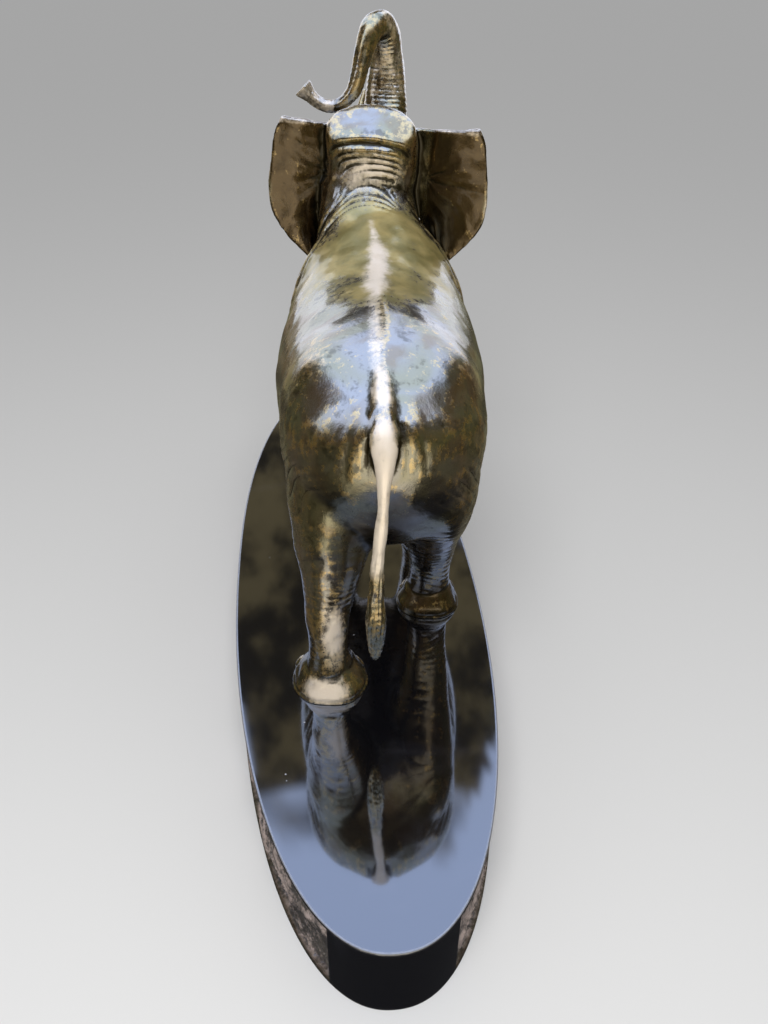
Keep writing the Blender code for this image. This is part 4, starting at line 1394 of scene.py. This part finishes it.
# %% Wall, top and underside
def slab():
    """Rings of the outline at each height, set in by depth * rough, where rough steps from 0 at the
    polished ends to 1 along the flanks, and by a quarter-round at the top arris."""
    run, x, y, out_x, out_y = slab_outline(ROUND_STEPS)
    wall = np.linspace(MARGIN, base_high - MARGIN, 52)
    arris = EASING * (1 - np.cos(np.linspace(0, math.pi / 2, 5)))
    edge = base_high - EASING + EASING * np.sin(np.linspace(0, math.pi / 2, 5))
    ups = np.concatenate([[0.0, MARGIN - 0.6], wall, [base_high - MARGIN + 0.6], edge, [base_high]])
    inset = np.concatenate([np.zeros(len(ups) - 6), arris, [2.5 * EASING]])
    rough_x = ramp(np.abs(x) / half_wide, POLISHED_SHARE, POLISHED_SHARE + 0.006)
    rough_up = ((ups >= MARGIN) & (ups <= base_high - MARGIN)).astype(float)
    rough = rough_up[:, None] * rough_x[None]
    run_grid, up_grid = np.meshgrid(run, ups)
    sunk = ROUGH_DEPTH * rough * broken_depth(run_grid, up_grid)
    inward = inset[:, None] + sunk
    rings = np.stack([x - inward * out_x, y - inward * out_y, up_grid], axis=-1)
    count, levels = len(x), len(ups)
    walls = quads(levels, count)
    under = list(range(count - 1, -1, -1))
    over = list(range((levels - 1) * count, levels * count))
    mesh = bpy.data.meshes.new("marble_slab")
    middle = 0.5 * (base_box[0] + base_box[1])
    floor = np.array((middle.x, middle.y, base_box[0].z))
    mesh.from_pydata((rings.reshape(-1, 3) * MM + floor).tolist(), [], [under, over, *walls])
    mesh.polygons.foreach_set("use_smooth", np.array([False, False] + [True] * len(walls)))
    keep(mesh, "broken", rough.ravel())
    # painted highlight: a thin pale line along the top arris
    edge_highlight = bell(ups, base_high, EASING) * (inset < 2 * EASING)
    keep(mesh, "edge", np.repeat(edge_highlight, count))
    keep(mesh, "sunk", sunk.ravel())
    return mesh


marble_mesh = slab()
print("base:", len(marble_mesh.polygons), "faces,", [round(side, 1) for side in base_size], "mm")

# %% [markdown]
# ## Black marble
#
# Polished black marble is almost a mirror over a near-black stone with a few grey veins. Broken marble
# shows its grain instead: the same stone, but paler, warmer and quite dull. Attributes say where it is
# broken, how deep, and where a thin painted highlight runs along the top's arris.

# %% Marble
BLACK_STONE = linear("#0b0b0e")
VEIN_STONE = linear("#24242a")
BROKEN_LOW = linear("#2a2421")
BROKEN_HIGH = linear("#a8968e")
# pale grey of the painted highlight on the top arris
EDGE_HIGHLIGHT_GREY = linear("#8e8e92")
DUST = linear("#9a9a9c")
VEIN_SIZE, CHIP_SIZE, GRAIN_SIZE, DUST_SPACING = 70 * MM, 9 * MM, 1.6 * MM, 24 * MM
STONE_DEPTH = 0.8 * MM
# above the stone's own 1.5, because the polished top mirrors its surroundings strongly
POLISHED_IOR = 2.0


def black_marble():
    """Polished stone with a few veins, broken stone that pales where it stands out, a painted highlight
    along the top arris, and specks of dust, each mixed in by its own share."""
    made, node = new_material("black_marble")
    place = node("TexCoord", output="Object")
    broken, sunk, edge = (
        node("Attribute", output="Fac", attribute_name=name) for name in ("broken", "sunk", "edge")
    )
    cloud = node("TexNoise", {"Vector": place, "Scale": 1 / VEIN_SIZE, "Detail": 6.0, "Distortion": 1.2})
    grain, chip = (
        node("TexNoise", {"Vector": place, "Scale": 1 / size, "Detail": 4.0, "Roughness": 0.6})
        for size in (GRAIN_SIZE, CHIP_SIZE)
    )
    veined = node("MapRange", {"Value": cloud, "From Min": 0.60, "From Max": 0.78, "To Max": 0.5}, **SOFT)
    polished = node("Mix", {0: veined, 6: BLACK_STONE, 7: VEIN_STONE}, MIXED, **RGB)
    pale = 0.0
    for part, weight in ((chip, 0.6), (grain, 0.4), (sunk, -0.045)):
        pale = node("Math", {0: part, 1: weight, 2: pale}, **PLUS)
    pale = node("MapRange", {"Value": pale, "From Min": 0.30, "From Max": 0.50}, **SOFT)
    rough_colour = node("Mix", {0: pale, 6: BROKEN_LOW, 7: BROKEN_HIGH}, MIXED, **RGB)
    # painted highlight on the arris, broken up by the grain
    edge_highlight = node("Math", {0: edge, 1: grain}, operation="MULTIPLY")
    dust = node("TexVoronoi", {"Vector": place, "Scale": 1 / DUST_SPACING, "Randomness": 1.0}, "Distance")
    dust = node("MapRange", {"Value": dust, "From Min": 0.030, "From Max": 0.016, "To Max": 0.8}, **SOFT)
    colour = polished
    for share, paint in ((broken, rough_colour), (edge_highlight, EDGE_HIGHLIGHT_GREY), (dust, DUST)):
        colour = node("Mix", {0: share, 6: colour, 7: paint}, MIXED, **RGB)

    dull = node("MapRange", {"Value": broken, "To Min": 0.05, "To Max": 0.62})
    for share in (dust, edge):
        dull = node("Math", {0: share, 1: 0.4, 2: dull}, **PLUS)
    height = node("Math", {0: grain, 1: chip}, operation="ADD")
    height = node("Math", {0: height, 1: broken}, operation="MULTIPLY")
    bump = node("Bump", {"Height": height, "Distance": STONE_DEPTH, "Strength": 0.7})
    stone = {"Base Color": colour, "Roughness": dull, "IOR": POLISHED_IOR, "Normal": bump}
    stone.update({"Coat Weight": 1.0, "Coat Roughness": 0.03})
    node("OutputMaterial", {"Surface": node("BsdfPrincipled", stone)})
    return made


base = bpy.data.objects.new("marble_slab", marble_mesh)
bpy.context.scene.collection.objects.link(base)
marble_mesh.materials.append(black_marble())
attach(base, "root")
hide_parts("marble_base")
print("base rides on root")

# %% [markdown]
# ## Studio
#
# A polished bronze shows what stands round it more than its own colour, so a studio surrounds it with card.
# Here a wide shell of card does that: pale and cool overhead and in openings ahead, dark olive and brown
# elsewhere. Only mirrors see it. The plain pale floor is lit apart from it, by the room and one soft lamp.

# %% Floor
def stage_object(mesh, material):
    """An object that is seen or mirrored but is no part of the model."""
    mesh.materials.append(material)
    obj = bpy.data.objects.new(mesh.name, mesh)
    bpy.context.scene.collection.objects.link(obj)
    return obj


def floor_material():
    """Plain pale paint."""
    made, node = new_material("pale_floor")
    node("OutputMaterial", {"Surface": node("BsdfDiffuse", {"Color": linear("#d8d8d8")})})
    return made


FLOOR_HALF = 30.0
floor_mesh = bpy.data.meshes.new("floor")
corners = [(FLOOR_HALF * x, FLOOR_HALF * y, 0.0) for x, y in ((-1, -1), (1, -1), (1, 1), (-1, 1))]
floor_mesh.from_pydata(corners, [], [(0, 1, 2, 3)])
floor = stage_object(floor_mesh, floor_material())
floor.visible_glossy = False
print("floor is", 2 * FLOOR_HALF, "m across")

# %% Card shell
SHELL_RADIUS = 2.4
SHELL_CENTRE = np.array((0.0, 0.0, 0.15))
SHELL_ROWS, SHELL_COLUMNS = 177, 360
# azimuth from straight ahead, to the right, and the lowest elevation of the pale card there
PALE_ABOVE = (
    (-180, 44), (-130, 34), (-112, 18), (-96, 18), (-88, 56), (-60, 50), (-44, 42), (-37, 20),
    (-34, -4), (-14, -4), (-12.5, 56), (21, 57), (23, -5), (38, -5), (44, 38), (60, 48),
    (95, 52), (110, 42), (130, 34), (180, 44),
)
# azimuth, and the highest elevation of the low window there
WINDOW_TOP = ((-16, 28), (-11, 28), (-8, 21), (3, 21), (6, 27), (13, 27), (15, 36), (24, 36))
WINDOW_FOOT = -4.0


def card_shell():
    """A sphere of card. Pale is 1 above the table's elevation, with an edge made ragged by noise, and in
    the low window ahead; warm is the patch of light floor behind the camera."""
    round_it = np.linspace(-180, 180, SHELL_COLUMNS, endpoint=False)
    azimuth, elevation = np.meshgrid(round_it, np.linspace(-88, 88, SHELL_ROWS))
    a, e = np.radians(azimuth), np.radians(elevation)
    way = np.stack([np.sin(a) * np.cos(e), np.cos(a) * np.cos(e), np.sin(e)], axis=-1).reshape(-1, 3)
    ragged = 3.5 * noise(way, 0.13, 40) + 4.0 * noise(way, 0.045, 41) + 2.0 * noise(way, 0.02, 42)
    azimuth, elevation = azimuth.ravel(), elevation.ravel()
    lowest = np.interp(azimuth + 0.3 * ragged, *np.array(PALE_ABOVE, float).T)
    pale = ramp(elevation + ragged - lowest, 0, 3)
    inside = (azimuth > WINDOW_TOP[0][0]) & (azimuth < WINDOW_TOP[-1][0])
    highest = np.interp(azimuth, *np.array(WINDOW_TOP, float).T)
    window = inside * ramp(elevation, WINDOW_FOOT, WINDOW_FOOT + 3)
    window = window * ramp(highest - elevation + 0.5 * ragged, 0, 3)
    behind = ramp(np.abs(azimuth) + 2 * ragged, 145, 151)
    warm = behind * ramp(elevation - ragged, 3, -1) * ramp(elevation + ragged, -50, -44)
    mesh = bpy.data.meshes.new("card_shell")
    places = SHELL_RADIUS * way + SHELL_CENTRE
    mesh.from_pydata(places.tolist(), [], quads(SHELL_ROWS, SHELL_COLUMNS))
    keep(mesh, "pale", np.maximum(pale, window))
    keep(mesh, "warm", warm)
    keep(mesh, "ahead", ramp(np.abs(azimuth), 24, 20) * ramp(elevation, 0, 10))
    keep(mesh, "high", ramp(elevation, 0, 60))
    keep(mesh, "low", ramp(elevation, 0, -60))
    return mesh


LEAF_BROWN, LEAF_OLIVE = (0.30, 0.21, 0.11, 1.0), (0.23, 0.23, 0.11, 1.0)
LEAF_AHEAD, LEAF_LOW = (0.30, 0.25, 0.14, 1.0), (0.20, 0.18, 0.15, 1.0)
SHADE, UNDERNEATH = (0.045, 0.04, 0.03, 1.0), (0.02, 0.02, 0.022, 1.0)
WARM_FLOOR = (1.5, 1.4, 1.2, 1.0)
SKY_LOW, SKY_HIGH = (1.35, 1.40, 1.60, 1.0), (1.55, 1.95, 3.0, 1.0)
# in metres, on a shell 4.8 m across
DAB_SIZE, TINT_SIZE = 0.26, 0.70


def card_material():
    """Leaves in dabs of light and shade, the light floor behind, and above them the pale sky."""
    made, node = new_material("painted_card")
    place = node("TexCoord", output="Object")
    names = ("pale", "warm", "high", "low", "ahead")
    pale, warm, high, low, ahead = (
        node("Attribute", output="Fac", attribute_name=name) for name in names
    )
    dabs = node("TexNoise", {"Vector": place, "Scale": 1 / DAB_SIZE, "Detail": 5.0, "Roughness": 0.65})
    tint = node("TexNoise", {"Vector": place, "Scale": 1 / TINT_SIZE, "Detail": 2.0})
    tint = node("MapRange", {"Value": tint, "From Min": 0.42, "From Max": 0.58}, **SOFT)
    leaf = LEAF_BROWN
    for share, paint in ((tint, LEAF_OLIVE), (ahead, LEAF_AHEAD), (low, LEAF_LOW)):
        leaf = node("Mix", {0: share, 6: leaf, 7: paint}, MIXED, **RGB)
    lit = node("MapRange", {"Value": dabs, "From Min": 0.40, "From Max": 0.60}, **SOFT)
    deep = node("MapRange", {"Value": low, "From Min": 0.6, "From Max": 1.0}, **SOFT)
    sky = node("Mix", {0: high, 6: SKY_LOW, 7: SKY_HIGH}, MIXED, **RGB)
    shown = SHADE
    for share, paint in ((lit, leaf), (deep, UNDERNEATH), (warm, WARM_FLOOR), (pale, sky)):
        shown = node("Mix", {0: share, 6: shown, 7: paint}, MIXED, **RGB)
    node("OutputMaterial", {"Surface": node("Emission", {"Color": shown, "Strength": 1.0})})
    return made


shell = stage_object(card_shell(), card_material())
for unseen in ("visible_camera", "visible_diffuse", "visible_shadow", "visible_transmission"):
    setattr(shell, unseen, False)
print("card shell:", len(shell.data.polygons), "faces")


# %% Room and lamp
ROOM_BRIGHTNESS = 0.55


def soft_light(name, place, aim, size, watts):
    """A rectangle of light aimed at a point, which neither the camera nor mirrors see."""
    data = bpy.data.lights.new(name, "AREA")
    data.shape, data.size, data.size_y = "RECTANGLE", size[0], size[1]
    data.energy = watts
    lamp = bpy.data.objects.new(name, data)
    lamp.location = place
    lamp.rotation_euler = (Vector(aim) - Vector(place)).to_track_quat("-Z", "Y").to_euler()
    lamp.visible_camera = False
    lamp.visible_glossy = False
    bpy.context.scene.collection.objects.link(lamp)


soft_light("lamp", (-0.12, -0.75, 0.95), (0.0, -0.25, 0.0), (0.6, 0.6), 8.8)
world = bpy.data.worlds.new("studio")
world.use_nodes = True
world.node_tree.nodes["Background"].inputs[0].default_value = linear("#ffffff")
world.node_tree.nodes["Background"].inputs[1].default_value = ROOM_BRIGHTNESS
bpy.context.scene.world = world
bpy.context.scene.view_settings.view_transform = "Standard"
